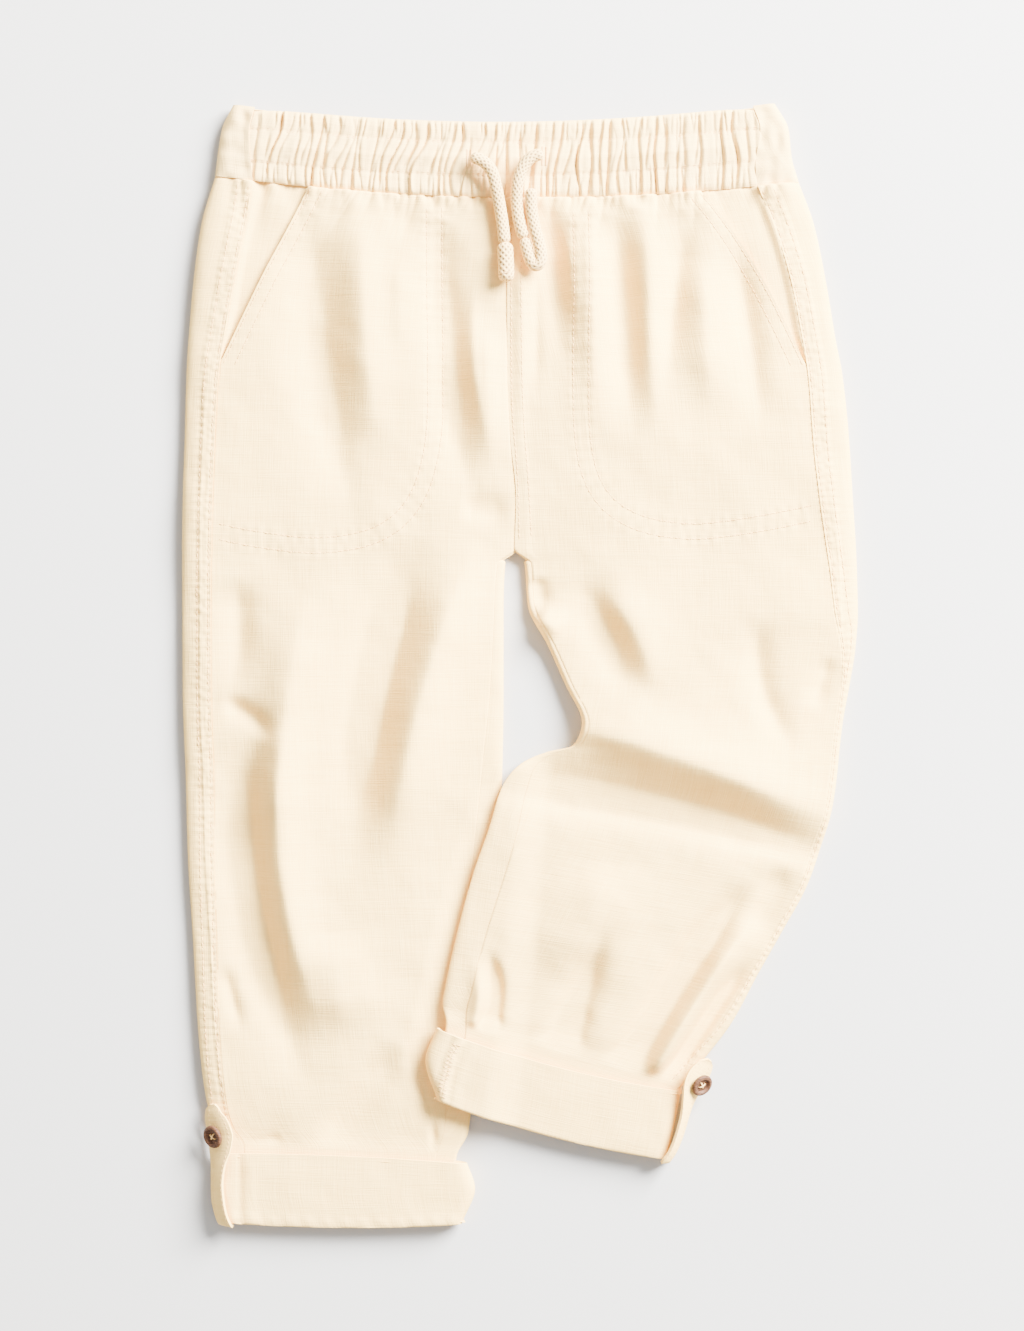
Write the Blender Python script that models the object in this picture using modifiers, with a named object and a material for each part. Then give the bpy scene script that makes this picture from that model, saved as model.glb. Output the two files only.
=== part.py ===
"""Drawstring trousers for a small child, in soft linen, laid flat on their back.

One leg lies straight, the other is bent at the knee so that its lower half
crosses the first. Both hems are rolled up and held by a buttoned tab.

Sizes are in millimetres until a mesh is made, then in metres. +X is to the
right of someone looking down at the front, +Y is towards the waist, +Z is up,
and the trousers lie on z = 0. Left and right are the wearer's.
"""
import math
import random
from collections import namedtuple
from types import SimpleNamespace

import bmesh
import bpy
import numpy as np
from mathutils import Matrix, Vector

MM = 0.001

# Cloth and seams
WALL = 1.2              # one layer of cloth, with its seam allowances
GAP = 0.3               # left between pieces at a seam
HALF_GAP = GAP / 2
CURVED_GAP = 0.6        # where a seam runs along a rounded edge, between the outer faces
LEAST_LEG = 2.9         # the two layers of a leg where they are pressed flat
FELL_RISE = 0.6         # how far a felled side seam stands above the front
EDGE_ROUND = 9.0        # how far the soft rounding of a leg's edge reaches in
ROW_LENGTH = 21.0       # cloth length between two sections of a panel
FRONT_COLUMNS = 18

# Waistband, an elastic casing
BAND_SAG = 9.25         # how far its middle lies below a line between its ends
BAND_SPLIT = 3.85       # height of the plane between its front and its back
BAND_END = 8.0          # height where it turns round at the sides
FRONT_SEAM_TOP = 11.0   # from the side outline to the side seam, at the top edge
BAND_STEP = 2.5         # the front casing's top edge lies this much lower at its ends
GATHERS = 54            # in the front, and as many in the back
FRONT_GATHER = 1.2      # height of a gather above or below the casing
BACK_GATHER = 0.9       # depth of the grooves on the underside
BAND_WIDTH = 291.0      # across its seam with the legs
BAND_REACH = 6.0        # how far its turned edges reach in at the sides
BAND_WALL = 2.6         # two layers and elastic, where it turns

# Slant pockets
POCKET_MOUTH = 28.0     # from the side seam to the pocket edge, at the waist
POCKET_DEPTH = 90.0     # down the side seam
FACING_DROP = 1.7       # the facing lies this far below the pocket's edge
FACING_UNDER = 4.0      # and reaches this far in under it

# Rolled hems and their tabs
CUFF_WALL = 2.2         # two layers, rolled outwards
CUFF_LIFT = 2.7         # height of a leg's underside inside its rolled hem
CUFF_ROUND = 6.0
CUFF_PROUD = 5.0        # a rolled hem's outline lies this far outside the leg in it
CUFF_RIPPLE = 0.015     # its slight waviness, as a share of its height
TAB_WALL = 1.4
BUTTON_WIDTH = 11.5
BUTTON_THICK = 2.6
BUTTON_GAP = 0.9        # from the tab's middle, which bulges, to the button's back

# Drawcord
CORD_WIDTH = 6.0
CORD_END_WIDTH = 7.6

# Where the bent leg crosses the straight one
CROSS_HEIGHT = 4.4      # the straight leg is pressed to this height there
CROSS_START = 25.0      # the bent leg starts to rise this far outside its edge
CROSS_RUN = 19.0        # and has risen after this distance
CROSS_TOP = (-38.0, -55.0)      # y where the rise begins and where it is whole
PRESS_ENDS = (-48.0, -236.0)    # y where the pressed stretch starts and stops

# One row for each section across a leg, from the waistband down. The outer and
# inner points are the outline. side_seam and inseam are measured in from it
# along the top, and no inseam means the panel ends at the centre seam. The
# edge columns are the height of the leg at its outline, crown is what its
# middle has more, and lift is the height of its underside.
Section = namedtuple("Section", "outer_x outer_y inner_x inner_y side_seam inseam "
                                "outer_edge inner_edge crown lift")

RIGHT_LEG = (
    Section(-152.0, 243.2, -6.5, 232.5, 19.0, 0.0, 8.0, 7.0, 0.5, 0.0),
    Section(-159.0, 218.8, -6.5, 212.0, 22.0, 0.0, 7.6, 6.8, 1.5, 0.0),
    Section(-163.2, 187.2, -6.5, 182.0, 20.2, 0.0, 7.4, 6.6, 2.2, 0.0),
    Section(-165.3, 162.2, -6.5, 159.8, 18.0, 0.0, 7.2, 6.5, 2.2, 0.0),
    Section(-166.2, 148.2, -6.5, 146.2, 16.7, 0.0, 7.2, 6.4, 2.2, 0.0),
    Section(-167.2, 113.8, -5.0, 113.8, 15.3, 0.0, 7.2, 6.0, 2.0, 0.0),
    Section(-168.2, 82.2, -2.0, 82.2, 15.2, 0.0, 7.2, 5.4, 2.0, 0.0),
    Section(-168.5, 58.2, -2.8, 57.2, 15.0, 0.0, 7.2, 4.6, 2.0, 0.0),
    Section(-168.5, 49.6, -7.2, 51.2, 14.7, 3.6, 7.2, 4.6, 2.0, 0.0),
    Section(-168.4, 24.8, -8.2, 27.2, 14.5, 4.5, 7.2, 5.6, 2.0, 0.0),
    Section(-168.2, -15.2, -8.2, -12.8, 14.5, 6.5, 7.2, 5.8, 2.0, 0.0),
    Section(-166.8, -53.8, -8.8, -52.8, 14.2, 10.0, 7.2, 5.2, 2.0, 0.0),
    Section(-165.8, -92.8, -11.5, -92.8, 13.3, 11.5, 7.2, 4.4, 2.0, 0.0),
    Section(-163.0, -139.2, -15.0, -137.8, 11.8, 12.0, 7.2, 4.4, 2.0, 0.0),
    Section(-160.5, -182.8, -19.5, -182.8, 10.8, 12.0, 7.2, 4.4, 2.0, 0.0),
    Section(-156.6, -216.0, -24.0, -218.4, 10.0, 12.2, 7.4, 4.6, 1.8, 0.0),
    Section(-152.6, -229.0, -26.0, -234.0, 9.0, 12.0, 6.6, 4.8, 1.2, 0.0),
    Section(-145.4, -240.0, -31.6, -245.0, 8.0, 10.0, 3.0, 3.0, 0.0, 2.7),
    Section(-144.8, -273.8, -34.5, -275.0, 8.0, 10.0, 3.0, 3.0, 0.0, 2.7),
)

LEFT_LEG = (
    Section(139.0, 240.2, -6.5, 232.5, 21.0, 0.0, 8.0, 7.0, 0.5, 0.0),
    Section(146.5, 219.5, -6.5, 212.0, 20.0, 0.0, 7.6, 6.8, 1.5, 0.0),
    Section(153.2, 187.2, -6.5, 182.0, 17.5, 0.0, 7.4, 6.6, 2.2, 0.0),
    Section(157.5, 161.5, -6.5, 159.8, 17.0, 0.0, 7.2, 6.5, 2.2, 0.0),
    Section(160.5, 146.2, -6.5, 146.2, 17.5, 0.0, 7.2, 6.4, 2.2, 0.0),
    Section(164.0, 113.8, -5.0, 113.8, 18.5, 0.0, 7.2, 6.0, 2.0, 0.0),
    Section(166.0, 82.2, -2.0, 82.2, 17.0, 0.0, 7.2, 5.4, 2.0, 0.0),
    Section(167.6, 57.2, -2.8, 57.2, 15.0, 0.0, 7.2, 4.6, 2.0, 0.0),
    Section(168.0, 47.2, 2.0, 51.2, 14.0, 3.2, 7.2, 4.6, 2.0, 0.0),
    Section(168.5, 26.2, 4.0, 29.2, 12.0, 3.2, 7.2, 5.6, 2.0, 0.0),
    Section(167.2, 7.2, 14.0, 9.2, 7.0, 3.2, 6.6, 5.6, 2.0, 0.0),
    Section(164.5, -9.8, 22.5, -9.8, 4.4, 3.2, 5.6, 5.6, 2.4, 0.0),
    Section(161.2, -27.8, 30.8, -28.8, 3.6, 3.2, 5.6, 5.6, 2.4, 0.0),
    Section(159.4, -42.0, 26.0, -40.4, 3.6, 3.2, 5.6, 5.2, 2.4, 0.0),
    Section(158.0, -56.0, 13.5, -43.6, 3.6, 4.6, 5.6, 5.0, 2.4, 0.0),
    Section(155.6, -71.5, 0.5, -49.4, 3.6, 7.5, 5.8, 4.8, 2.4, 0.0),
    Section(150.8, -89.0, -8.5, -60.0, 3.6, 12.0, 6.0, 4.8, 2.4, 0.0),
    Section(143.0, -110.8, -15.6, -81.8, 3.6, 14.0, 6.0, 4.8, 2.4, 0.0),
    Section(131.0, -132.8, -23.0, -103.0, 3.6, 15.0, 6.0, 4.8, 2.4, 0.0),
    Section(118.5, -154.8, -31.0, -132.0, 4.0, 14.0, 6.0, 4.8, 2.2, 0.0),
    Section(105.5, -178.8, -37.2, -160.0, 5.5, 13.0, 6.4, 4.8, 1.8, 0.0),
    Section(93.4, -195.0, -38.6, -169.0, 7.2, 12.0, 6.4, 4.8, 1.2, 0.0),
    Section(74.2, -208.0, -36.8, -178.0, 8.0, 10.0, 3.0, 3.0, 0.0, 2.7),
    Section(70.4, -224.0, -38.6, -195.0, 8.0, 10.0, 3.0, 3.0, 0.0, 2.7),
    Section(67.0, -240.6, -34.6, -213.0, 8.0, 10.0, 3.0, 3.0, 0.0, 2.7),
)

CROTCH_ROW = 7          # the last section whose panels meet at the centre
CROSSING_ROWS = slice(15, 22)   # the sections of the left leg that lie on the right one

# One row for each rolled hem's section, from its upper edge to its fold. sag is
# how far its middle lies below a straight line between its ends.
CuffSection = namedtuple("CuffSection", "outer_x outer_y inner_x inner_y height sag")

RIGHT_CUFF = (
    CuffSection(-150.8, -243.2, -26.4, -248.4, 8.8, -1.4),
    CuffSection(-151.0, -259.0, -22.4, -261.5, 9.0, 0.4),
    CuffSection(-148.0, -277.0, -28.8, -278.0, 8.8, 2.0),
)
LEFT_CUFF = (
    CuffSection(80.3, -212.3, -41.4, -180.6, 8.8, 4.0),
    CuffSection(77.1, -228.7, -47.0, -197.0, 9.0, 3.6),
    CuffSection(73.5, -245.7, -41.4, -215.6, 8.8, 3.8),
)

# One row for each main crease: its start, a point it passes and its end, seen
# from above, how far it spreads to the left and right of someone walking along
# it, and its height, which is negative for a trough.
Fold = namedtuple("Fold", "start_x start_y pass_x pass_y end_x end_y "
                          "left_width right_width height")

RIGHT_FOLDS = (
    Fold(-32.5, 50.0, -62.5, 4.0, -76.0, -90.0, 9.0, 17.0, -5.6),
    Fold(-14.0, 46.0, -46.0, -12.0, -71.0, -92.0, 10.0, 8.0, 5.2),
    Fold(-106.0, 36.0, -118.0, -35.0, -121.0, -92.0, 12.0, 12.0, 4.4),
    Fold(-142.0, 44.0, -140.0, 12.0, -144.0, -15.0, 8.0, 8.0, -3.0),
    Fold(-149.0, -19.0, -135.0, -25.0, -122.0, -38.0, 5.0, 5.0, -2.8),
    Fold(-126.0, -43.0, -136.0, -103.0, -104.0, -215.0, 7.0, 11.0, -5.5),
    Fold(-119.0, -38.0, -122.5, -96.0, -101.0, -178.0, 8.0, 6.0, 4.0),
    Fold(-95.0, -133.0, -90.0, -158.0, -84.0, -188.0, 18.0, 16.0, 3.5),
    Fold(-61.5, -188.0, -82.0, -220.0, -106.0, -242.0, 10.0, 9.0, -3.5),
    Fold(-147.5, -150.0, -143.0, -168.0, -138.0, -184.0, 4.0, 4.0, -1.8),
    Fold(-100.0, 212.0, -97.0, 137.0, -81.0, 68.0, 11.0, 13.0, -4.2),
    Fold(-79.0, 225.0, -77.0, 167.0, -71.0, 104.0, 11.0, 10.0, 3.5),
    Fold(-39.0, 218.0, -35.0, 147.0, -25.0, 80.0, 9.0, 10.0, -4.1),
    Fold(-17.5, 174.0, -16.5, 132.0, -14.0, 92.0, 8.0, 8.0, 3.0),
    Fold(-30.0, 80.0, -16.0, 77.0, -4.0, 74.0, 8.0, 7.0, -2.5),
)
LEFT_FOLDS = (
    Fold(16.0, 207.0, 17.0, 180.0, 19.0, 159.0, 8.0, 8.0, -3.5),
    Fold(35.0, 218.0, 36.0, 170.0, 37.0, 125.0, 10.0, 9.0, 3.1),
    Fold(49.0, 222.0, 52.0, 170.0, 55.0, 122.0, 9.0, 9.0, -4.0),
    Fold(62.5, 217.0, 64.0, 170.0, 66.0, 122.0, 9.0, 8.0, 3.1),
    Fold(77.0, 184.0, 73.0, 160.0, 70.0, 141.0, 7.0, 7.0, -3.0),
    Fold(90.0, 202.0, 92.0, 160.0, 94.0, 122.0, 10.0, 9.0, 2.8),
    Fold(115.0, 171.0, 118.0, 148.0, 121.0, 120.0, 7.0, 8.0, -3.1),
    Fold(9.0, 44.0, 10.0, 36.0, 11.5, 27.0, 4.0, 5.0, -2.2),
    Fold(8.0, 24.0, 14.0, 20.0, 21.0, 14.0, 7.0, 6.0, 3.0),
    Fold(28.0, 33.0, 45.0, 8.0, 53.0, -18.0, 8.0, 8.0, -3.5),
    Fold(40.0, 40.0, 59.0, 12.0, 68.0, -18.0, 12.0, 9.0, 3.2),
    Fold(120.0, 24.0, 121.0, -12.0, 140.0, -48.0, 7.0, 7.0, -2.8),
    Fold(155.0, 4.0, 150.0, -10.0, 145.0, -23.0, 5.0, 5.0, -1.8),
    Fold(35.0, -25.0, 93.0, -42.0, 154.0, -85.0, 16.0, 8.0, 7.0),
    Fold(14.0, -48.0, 80.0, -72.0, 152.0, -92.0, 9.0, 18.0, -5.0),
    Fold(40.0, -98.0, 35.0, -133.0, 25.0, -163.0, 22.0, 20.0, 3.2),
    Fold(132.0, -99.0, 124.0, -118.0, 112.0, -139.0, 8.0, 8.0, -3.0),
    Fold(96.0, -145.0, 78.0, -168.0, 50.0, -205.0, 9.0, 9.0, -3.5),
    Fold(-12.0, -172.0, -16.0, -181.0, -20.0, -189.0, 5.0, 5.0, -1.5),
    Fold(30.0, -169.0, 25.0, -183.0, 20.0, -197.0, 6.0, 6.0, -2.2),
)

# The waistband's outline from its top edge, depth 0, to its seam, depth 1.
BandEnd = namedtuple("BandEnd", "depth left_x left_y right_x right_y")
BAND_ENDS = (
    BandEnd(0.00, -143.0, 278.8, 127.0, 279.5),
    BandEnd(0.33, -148.5, 267.2, 133.8, 267.0),
    BandEnd(0.75, -151.0, 251.8, 135.6, 252.0),
    BandEnd(1.00, -152.0, 243.2, 139.0, 240.2),
)
# The casing's height across its depth: two stitched channels with the
# cord's channel between them. gather is the share of a gather's full height.
BandRow = namedtuple("BandRow", "depth height gather")
BAND_ROWS = (
    BandRow(0.00, 6.4, 0.6),
    BandRow(0.05, 8.2, 0.9),
    BandRow(0.20, 8.0, 0.9),
    BandRow(0.50, 9.2, 1.0),
    BandRow(0.78, 7.9, 0.9),
    BandRow(0.95, 8.0, 0.9),
    BandRow(1.00, 7.0, 0.6),
)
# The back casing's underside lies flat between its turned top edge and its seam.
BackRow = namedtuple("BackRow", "depth rise")
BACK_ROWS = (
    BackRow(0.00, 1.2),
    BackRow(0.05, 0.0),
    BackRow(0.95, 0.0),
    BackRow(1.00, 0.6),
)
# One gather's crest or trough across the band, how deep it is and how it leans.
Column = namedtuple("Column", "share wave lean")

# The cords' routes, from the buttonhole to the end piece.
RoutePoint = namedtuple("RoutePoint", "x y z")
RIGHT_CORD = (
    RoutePoint(-24.5, 251.6, 13.9),
    RoutePoint(-18.6, 249.2, 14.2),
    RoutePoint(-14.2, 244.4, 14.0),
    RoutePoint(-12.0, 237.0, 13.2),
    RoutePoint(-10.2, 228.0, 12.0),
    RoutePoint(-8.6, 218.0, 11.8),
    RoutePoint(-7.6, 208.6, 11.8),
)
LEFT_CORD = (
    RoutePoint(11.6, 253.0, 13.9),
    RoutePoint(5.6, 251.0, 14.2),
    RoutePoint(1.0, 245.6, 14.0),
    RoutePoint(-1.1, 238.4, 13.4),
    RoutePoint(-1.6, 230.0, 12.2),
    RoutePoint(-0.6, 220.6, 12.0),
    RoutePoint(2.0, 211.0, 12.0),
)
RIGHT_CORD_TIP = RoutePoint(-6.8, 189.6, 12.2)
LEFT_CORD_TIP = RoutePoint(6.0, 198.4, 12.4)

# The tabs' inner faces, from the round end down over the rolled hem to its fold.
# They lean over the leg's edge, so their inner edge stands up.
TabRow = namedtuple("TabRow", "outer_x outer_y outer_z inner_x inner_y inner_z")
RIGHT_TAB = (
    TabRow(-153.4, -218.6, 6.8, -151.2, -218.4, 8.2),
    TabRow(-154.8, -220.2, 5.4, -149.8, -219.6, 9.0),
    TabRow(-155.6, -222.8, 4.4, -148.2, -222.2, 10.0),
    TabRow(-155.8, -226.0, 3.6, -145.6, -225.0, 11.0),
    TabRow(-155.4, -230.0, 3.0, -143.2, -230.0, 11.8),
    TabRow(-154.8, -234.0, 2.4, -142.2, -234.0, 12.2),
    TabRow(-154.0, -241.0, 1.8, -143.2, -241.0, 12.4),
    TabRow(-153.2, -249.0, 1.2, -145.9, -249.0, 12.4),
    TabRow(-153.0, -258.0, 1.2, -147.0, -258.0, 12.2),
    TabRow(-152.8, -267.0, 1.2, -146.2, -267.0, 12.0),
    TabRow(-151.4, -273.6, 1.4, -144.8, -273.6, 11.6),
    TabRow(-149.8, -277.6, 2.4, -143.2, -277.8, 10.4),
    TabRow(-149.0, -278.9, 4.0, -142.4, -279.1, 6.8),
)
LEFT_TAB = (
    TabRow(95.0, -197.0, 6.8, 93.2, -195.6, 8.2),
    TabRow(95.2, -199.0, 5.4, 90.0, -196.2, 9.0),
    TabRow(94.4, -202.4, 4.4, 86.8, -198.2, 10.0),
    TabRow(92.8, -206.0, 3.6, 84.0, -201.0, 11.0),
    TabRow(90.8, -209.6, 3.0, 82.0, -204.6, 11.8),
    TabRow(88.6, -213.2, 2.4, 80.8, -209.2, 12.2),
    TabRow(86.0, -218.0, 1.8, 80.2, -215.6, 12.4),
    TabRow(83.4, -224.0, 1.2, 79.4, -222.4, 12.4),
    TabRow(81.4, -230.6, 1.2, 77.8, -229.2, 12.2),
    TabRow(79.2, -237.0, 1.2, 75.8, -235.8, 12.0),
    TabRow(76.6, -242.8, 1.4, 73.2, -241.8, 11.6),
    TabRow(73.8, -246.8, 2.4, 70.2, -246.2, 10.2),
    TabRow(73.2, -247.8, 4.0, 69.8, -247.4, 6.6),
)
TAB_COLUMNS = 7
TAB_BULGE = 1.4         # how far a tab's middle stands out
# A button's middle on its tab: the row of the tab's table, and the share across.
RIGHT_BUTTON = (4.9, 0.42)
LEFT_BUTTON = (3.8, 0.38)


def smooth(amount):
    """0 below 0, 1 above 1 and an even S between."""
    amount = np.clip(amount, 0.0, 1.0)
    return amount * amount * (3.0 - 2.0 * amount)


def through(knots, values, at):
    """A smooth curve through the values that never swings past them."""
    knots = np.asarray(knots, float)
    values = np.asarray(values, float)
    step = np.diff(knots)
    slope = np.diff(values) / step
    tangent = np.zeros(len(knots))
    tangent[0] = slope[0]
    tangent[-1] = slope[-1]
    for k in range(1, len(knots) - 1):
        if slope[k - 1] * slope[k] > 0.0:
            before = 2.0 * step[k] + step[k - 1]
            after = step[k] + 2.0 * step[k - 1]
            tangent[k] = (before + after) / (before / slope[k - 1] + after / slope[k])
    at = np.asarray(at, float)
    k = np.clip(np.searchsorted(knots, at, side="right") - 1, 0, len(step) - 1)
    t = (at - knots[k]) / step[k]
    return (values[k] * (1.0 + 2.0 * t) * (1.0 - t) ** 2
            + step[k] * tangent[k] * t * (1.0 - t) ** 2
            + values[k + 1] * t * t * (3.0 - 2.0 * t)
            + step[k] * tangent[k + 1] * t * t * (t - 1.0))


def crease(fold, x, y):
    """Height that one fold adds at each x, y."""
    start = np.array([fold.start_x, fold.start_y])
    middle = np.array([fold.pass_x, fold.pass_y])
    end = np.array([fold.end_x, fold.end_y])
    bend = 2.0 * middle - (start + end) / 2.0
    steps = np.linspace(0.0, 1.0, 9)[:, None]
    line = (1 - steps) ** 2 * start + 2 * steps * (1 - steps) * bend + steps ** 2 * end
    nearest = np.full(x.shape, 1e9)
    along = np.zeros(x.shape)
    width = np.ones(x.shape)
    for k in range(len(line) - 1):
        run = line[k + 1] - line[k]
        t = ((x - line[k][0]) * run[0] + (y - line[k][1]) * run[1]) / run.dot(run)
        t = np.clip(t, 0.0, 1.0)
        dx = x - line[k][0] - t * run[0]
        dy = y - line[k][1] - t * run[1]
        distance = np.hypot(dx, dy)
        closer = distance < nearest
        on_left = run[0] * dy - run[1] * dx > 0.0
        nearest = np.where(closer, distance, nearest)
        along = np.where(closer, (k + t) / (len(line) - 1), along)
        side = np.where(on_left, fold.left_width, fold.right_width)
        width = np.where(closer, side, width)
    fade = smooth(along / 0.22 + 0.15) * smooth((1.0 - along) / 0.28 + 0.1)
    return fold.height * fade * np.exp(-(nearest / width) ** 1.7)


class Leg:
    """One leg: its outline, and the heights of its two layers of cloth."""

    def __init__(self, sections, folds, side):
        self.sections = sections
        self.folds = folds
        self.side = side
        middle_x = [(s.outer_x + s.inner_x) / 2 for s in sections]
        middle_y = [(s.outer_y + s.inner_y) / 2 for s in sections]
        lengths = np.hypot(np.diff(middle_x), np.diff(middle_y))
        self.knots = np.concatenate([[0.0], np.cumsum(lengths)])
        self.crotch = self.knots[CROTCH_ROW]
        self.crotch_end = self.knots[CROTCH_ROW + 1]
        self.end = self.knots[-1]

    def at(self, down):
        """The section at a distance down the leg."""
        values = {}
        for name in Section._fields:
            column = [getattr(s, name) for s in self.sections]
            values[name] = through(self.knots, column, down)
        section = SimpleNamespace(**values)
        section.down = np.asarray(down, float)
        section.width = np.hypot(section.inner_x - section.outer_x,
                                 section.inner_y - section.outer_y)
        span = (section.down - self.crotch) / (self.crotch_end - self.crotch)
        section.closed = np.clip(span, 0.0, 1.0)
        mouth = POCKET_MOUTH * np.clip(1.0 - section.down / POCKET_DEPTH, 0.0, 1.0)
        section.front_edge = section.side_seam + mouth
        return section

    def place(self, section, inward):
        """x and y of a point some way in from the outer outline."""
        share = inward / section.width
        sag = BAND_SAG * share * (1.0 - share) * smooth(1.0 - section.down / 45.0)
        x = section.outer_x + (section.inner_x - section.outer_x) * share
        y = section.outer_y + (section.inner_y - section.outer_y) * share - sag
        return x, y

    def floor(self, section, x, y):
        """Height of the leg's underside: nought, but over a cuff or the other leg."""
        return section.lift + crossing(x, y) * (self.side == "left")

    def top(self, section, inward):
        """Height of the upper layer's outer face."""
        x, y = self.place(section, inward)
        share = np.clip(inward / section.width, 0.0, 1.0)
        rim = section.outer_edge + (section.inner_edge - section.outer_edge) * share
        crown = section.crown * (1.0 - np.abs(2.0 * share - 1.0) ** 3)
        folds = sum(crease(fold, x, y) for fold in self.folds)
        free = 1.0 - section.lift / CUFF_LIFT
        height = np.maximum(rim + crown + folds * free, LEAST_LEG)
        if self.side == "right":
            pressed = pressing(x, y) * free
            height = height + (CROSS_HEIGHT - height) * pressed
        else:
            beside = section.width - inward
            above = 1.0 - section.closed
            height = height + FELL_RISE * above * (1.0 - smooth((beside - 6.0) / 3.0))
        return self.floor(section, x, y) + height

    def edge_round(self, section, seam, edge):
        """How far in an edge's rounding reaches, so that its wall fits inside."""
        return np.minimum(np.minimum(EDGE_ROUND, seam - 1.0), edge * edge / 6.0)


def straight_leg_edge(y):
    """x of the straight leg's inner outline at a height up the picture."""
    column_y = [s.inner_y for s in RIGHT_LEG[::-1]]
    column_x = [s.inner_x for s in RIGHT_LEG[::-1]]
    return np.interp(y, column_y, column_x)


def crossing(x, y):
    """How high the bent leg's underside lies, where it rides over the straight one."""
    beyond = straight_leg_edge(y) + CROSS_START - x
    begin, whole = CROSS_TOP
    return (CROSS_HEIGHT + GAP) * smooth(beyond / CROSS_RUN) * smooth((begin - y) / (begin - whole))


def pressing(x, y):
    """1 where the bent leg lies on the straight one, 0 well clear of it."""
    rows = LEFT_CUFF + LEFT_LEG[CROSSING_ROWS]
    rows = sorted((row.inner_y, row.inner_x) for row in rows)
    outline = np.interp(y, [row[0] for row in rows], [row[1] for row in rows])
    start, stop = PRESS_ENDS
    lengthwise = smooth((start - y) / 12.0) * smooth((y - stop) / 12.0)
    return smooth((x - outline + 14.0) / 10.0) * lengthwise


def leg_rows(leg, first, last):
    """Distances down the leg: every section of the table, and some between."""
    rows = [first]
    for begin, finish in zip(leg.knots[:-1], leg.knots[1:]):
        begin = max(begin, first)
        finish = min(finish, last)
        if finish - begin < 0.5:
            continue
        parts = max(1, round((finish - begin) / ROW_LENGTH))
        rows += [begin + (finish - begin) * k / parts for k in range(1, parts + 1)]
    return rows


def front_grid(leg):
    """Points of a front panel's outer face, side seam to centre seam or inseam."""
    rows = []
    for down in leg_rows(leg, GAP, leg.end):
        section = leg.at(down)
        inner = section.width - HALF_GAP
        inner -= (section.inseam + CURVED_GAP) * section.closed
        outer = section.front_edge + GAP
        inward = np.linspace(outer, inner, FRONT_COLUMNS + 1)
        x, y = leg.place(section, inward)
        rows.append(np.stack([x, y, leg.top(section, inward)], axis=-1))
    return np.array(rows)


def curl(leg, section, reach, angle, inner):
    """A point of a leg's rounded edge. The angle is 90 on top and -90 below."""
    turn = math.radians(angle)
    inward = reach * (1.0 - math.cos(turn))
    middle_in = reach
    if inner:
        inward = section.width - inward
        middle_in = section.width - reach
    x, y = leg.place(section, inward)
    base = float(leg.floor(section, x, y))
    middle = base + (float(leg.top(section, middle_in)) - base) / 2
    target = float(leg.top(section, inward)) if angle > 0 else base
    return (x, y, middle + (target - middle) * abs(math.sin(turn)))


CURL_ANGLES = (90, 48, 0, -48, -90)
CUFF_ANGLES = (-90, -52, 0, 52, 90)
UNDER_COLUMNS = (100.0, 62.0, 44.0, 36.0, 30.0, 24.0, 18.0, 13.0)   # in from the inner outline


def back_row(leg, down):
    """One section of a back panel: round the side, under the leg and up inside."""
    section = leg.at(down)
    points = []
    outer_round = float(leg.edge_round(section, section.side_seam, section.outer_edge))
    for share in (0.0, 0.5):
        inward = float(section.side_seam) + (outer_round - float(section.side_seam)) * share
        x, y = leg.place(section, inward)
        lip = min(1.0, (float(section.side_seam) - outer_round) / 6.0)
        rise = FELL_RISE * lip * (1.0 - share) * (1.0 - float(section.lift) / CUFF_LIFT)
        points.append((x, y, leg.top(section, inward) + rise))
    for angle in CURL_ANGLES:
        points.append(curl(leg, section, outer_round, angle, False))
    seam = max(float(section.inseam), 3.0)
    inner_round = float(leg.edge_round(section, seam, section.inner_edge))
    for distance in UNDER_COLUMNS:
        inward = float(section.width) - distance
        x, y = leg.place(section, inward)
        points.append((x, y, leg.floor(section, x, y)))
    rolled = [curl(leg, section, inner_round, angle, True) for angle in CURL_ANGLES[::-1]]
    for share in (0.5, 1.0):
        inward = float(section.width) - inner_round - (seam - inner_round) * share
        x, y = leg.place(section, inward)
        rolled.append((x, y, leg.top(section, inward)))
    for k, curled in enumerate(rolled):
        inward = float(section.width) - HALF_GAP - 2.0 * (len(rolled) - 1 - k)
        x, y = leg.place(section, inward)
        flat = np.array([x, y, leg.floor(section, x, y)], float)
        points.append(flat + (np.array(curled, float) - flat) * section.closed)
    return np.array(points, float)


def back_grid(leg):
    return np.array([back_row(leg, down) for down in leg_rows(leg, 2 * GAP, leg.end)])


def facing_grid(leg):
    """The hip piece inside a slant pocket, from the side seam in under the front."""
    rows = []
    for down in leg_rows(leg, GAP, POCKET_DEPTH - 3.5):
        section = leg.at(down)
        mouth = float(section.front_edge - section.side_seam)
        reach = np.array([2 * GAP, min(4.5, mouth * 0.85), mouth, mouth + FACING_UNDER])
        inward = float(section.side_seam) + reach
        drop = FACING_DROP * smooth(reach / min(4.5, mouth * 0.85))
        x, y = leg.place(section, inward)
        rows.append(np.stack([x, y, leg.top(section, inward) - drop], axis=-1))
    return np.array(rows)


def band_place(share, depth):
    """x and y in the waistband: share runs across it and depth down from the top."""
    knots = [row.depth for row in BAND_ENDS]
    left_x, left_y, right_x, right_y = (
        through(knots, [getattr(row, name) for row in BAND_ENDS], depth)
        for name in BandEnd._fields[1:])
    sag = BAND_SAG * 4.0 * share * (1.0 - share)
    return left_x + (right_x - left_x) * share, left_y + (right_y - left_y) * share - sag


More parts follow.
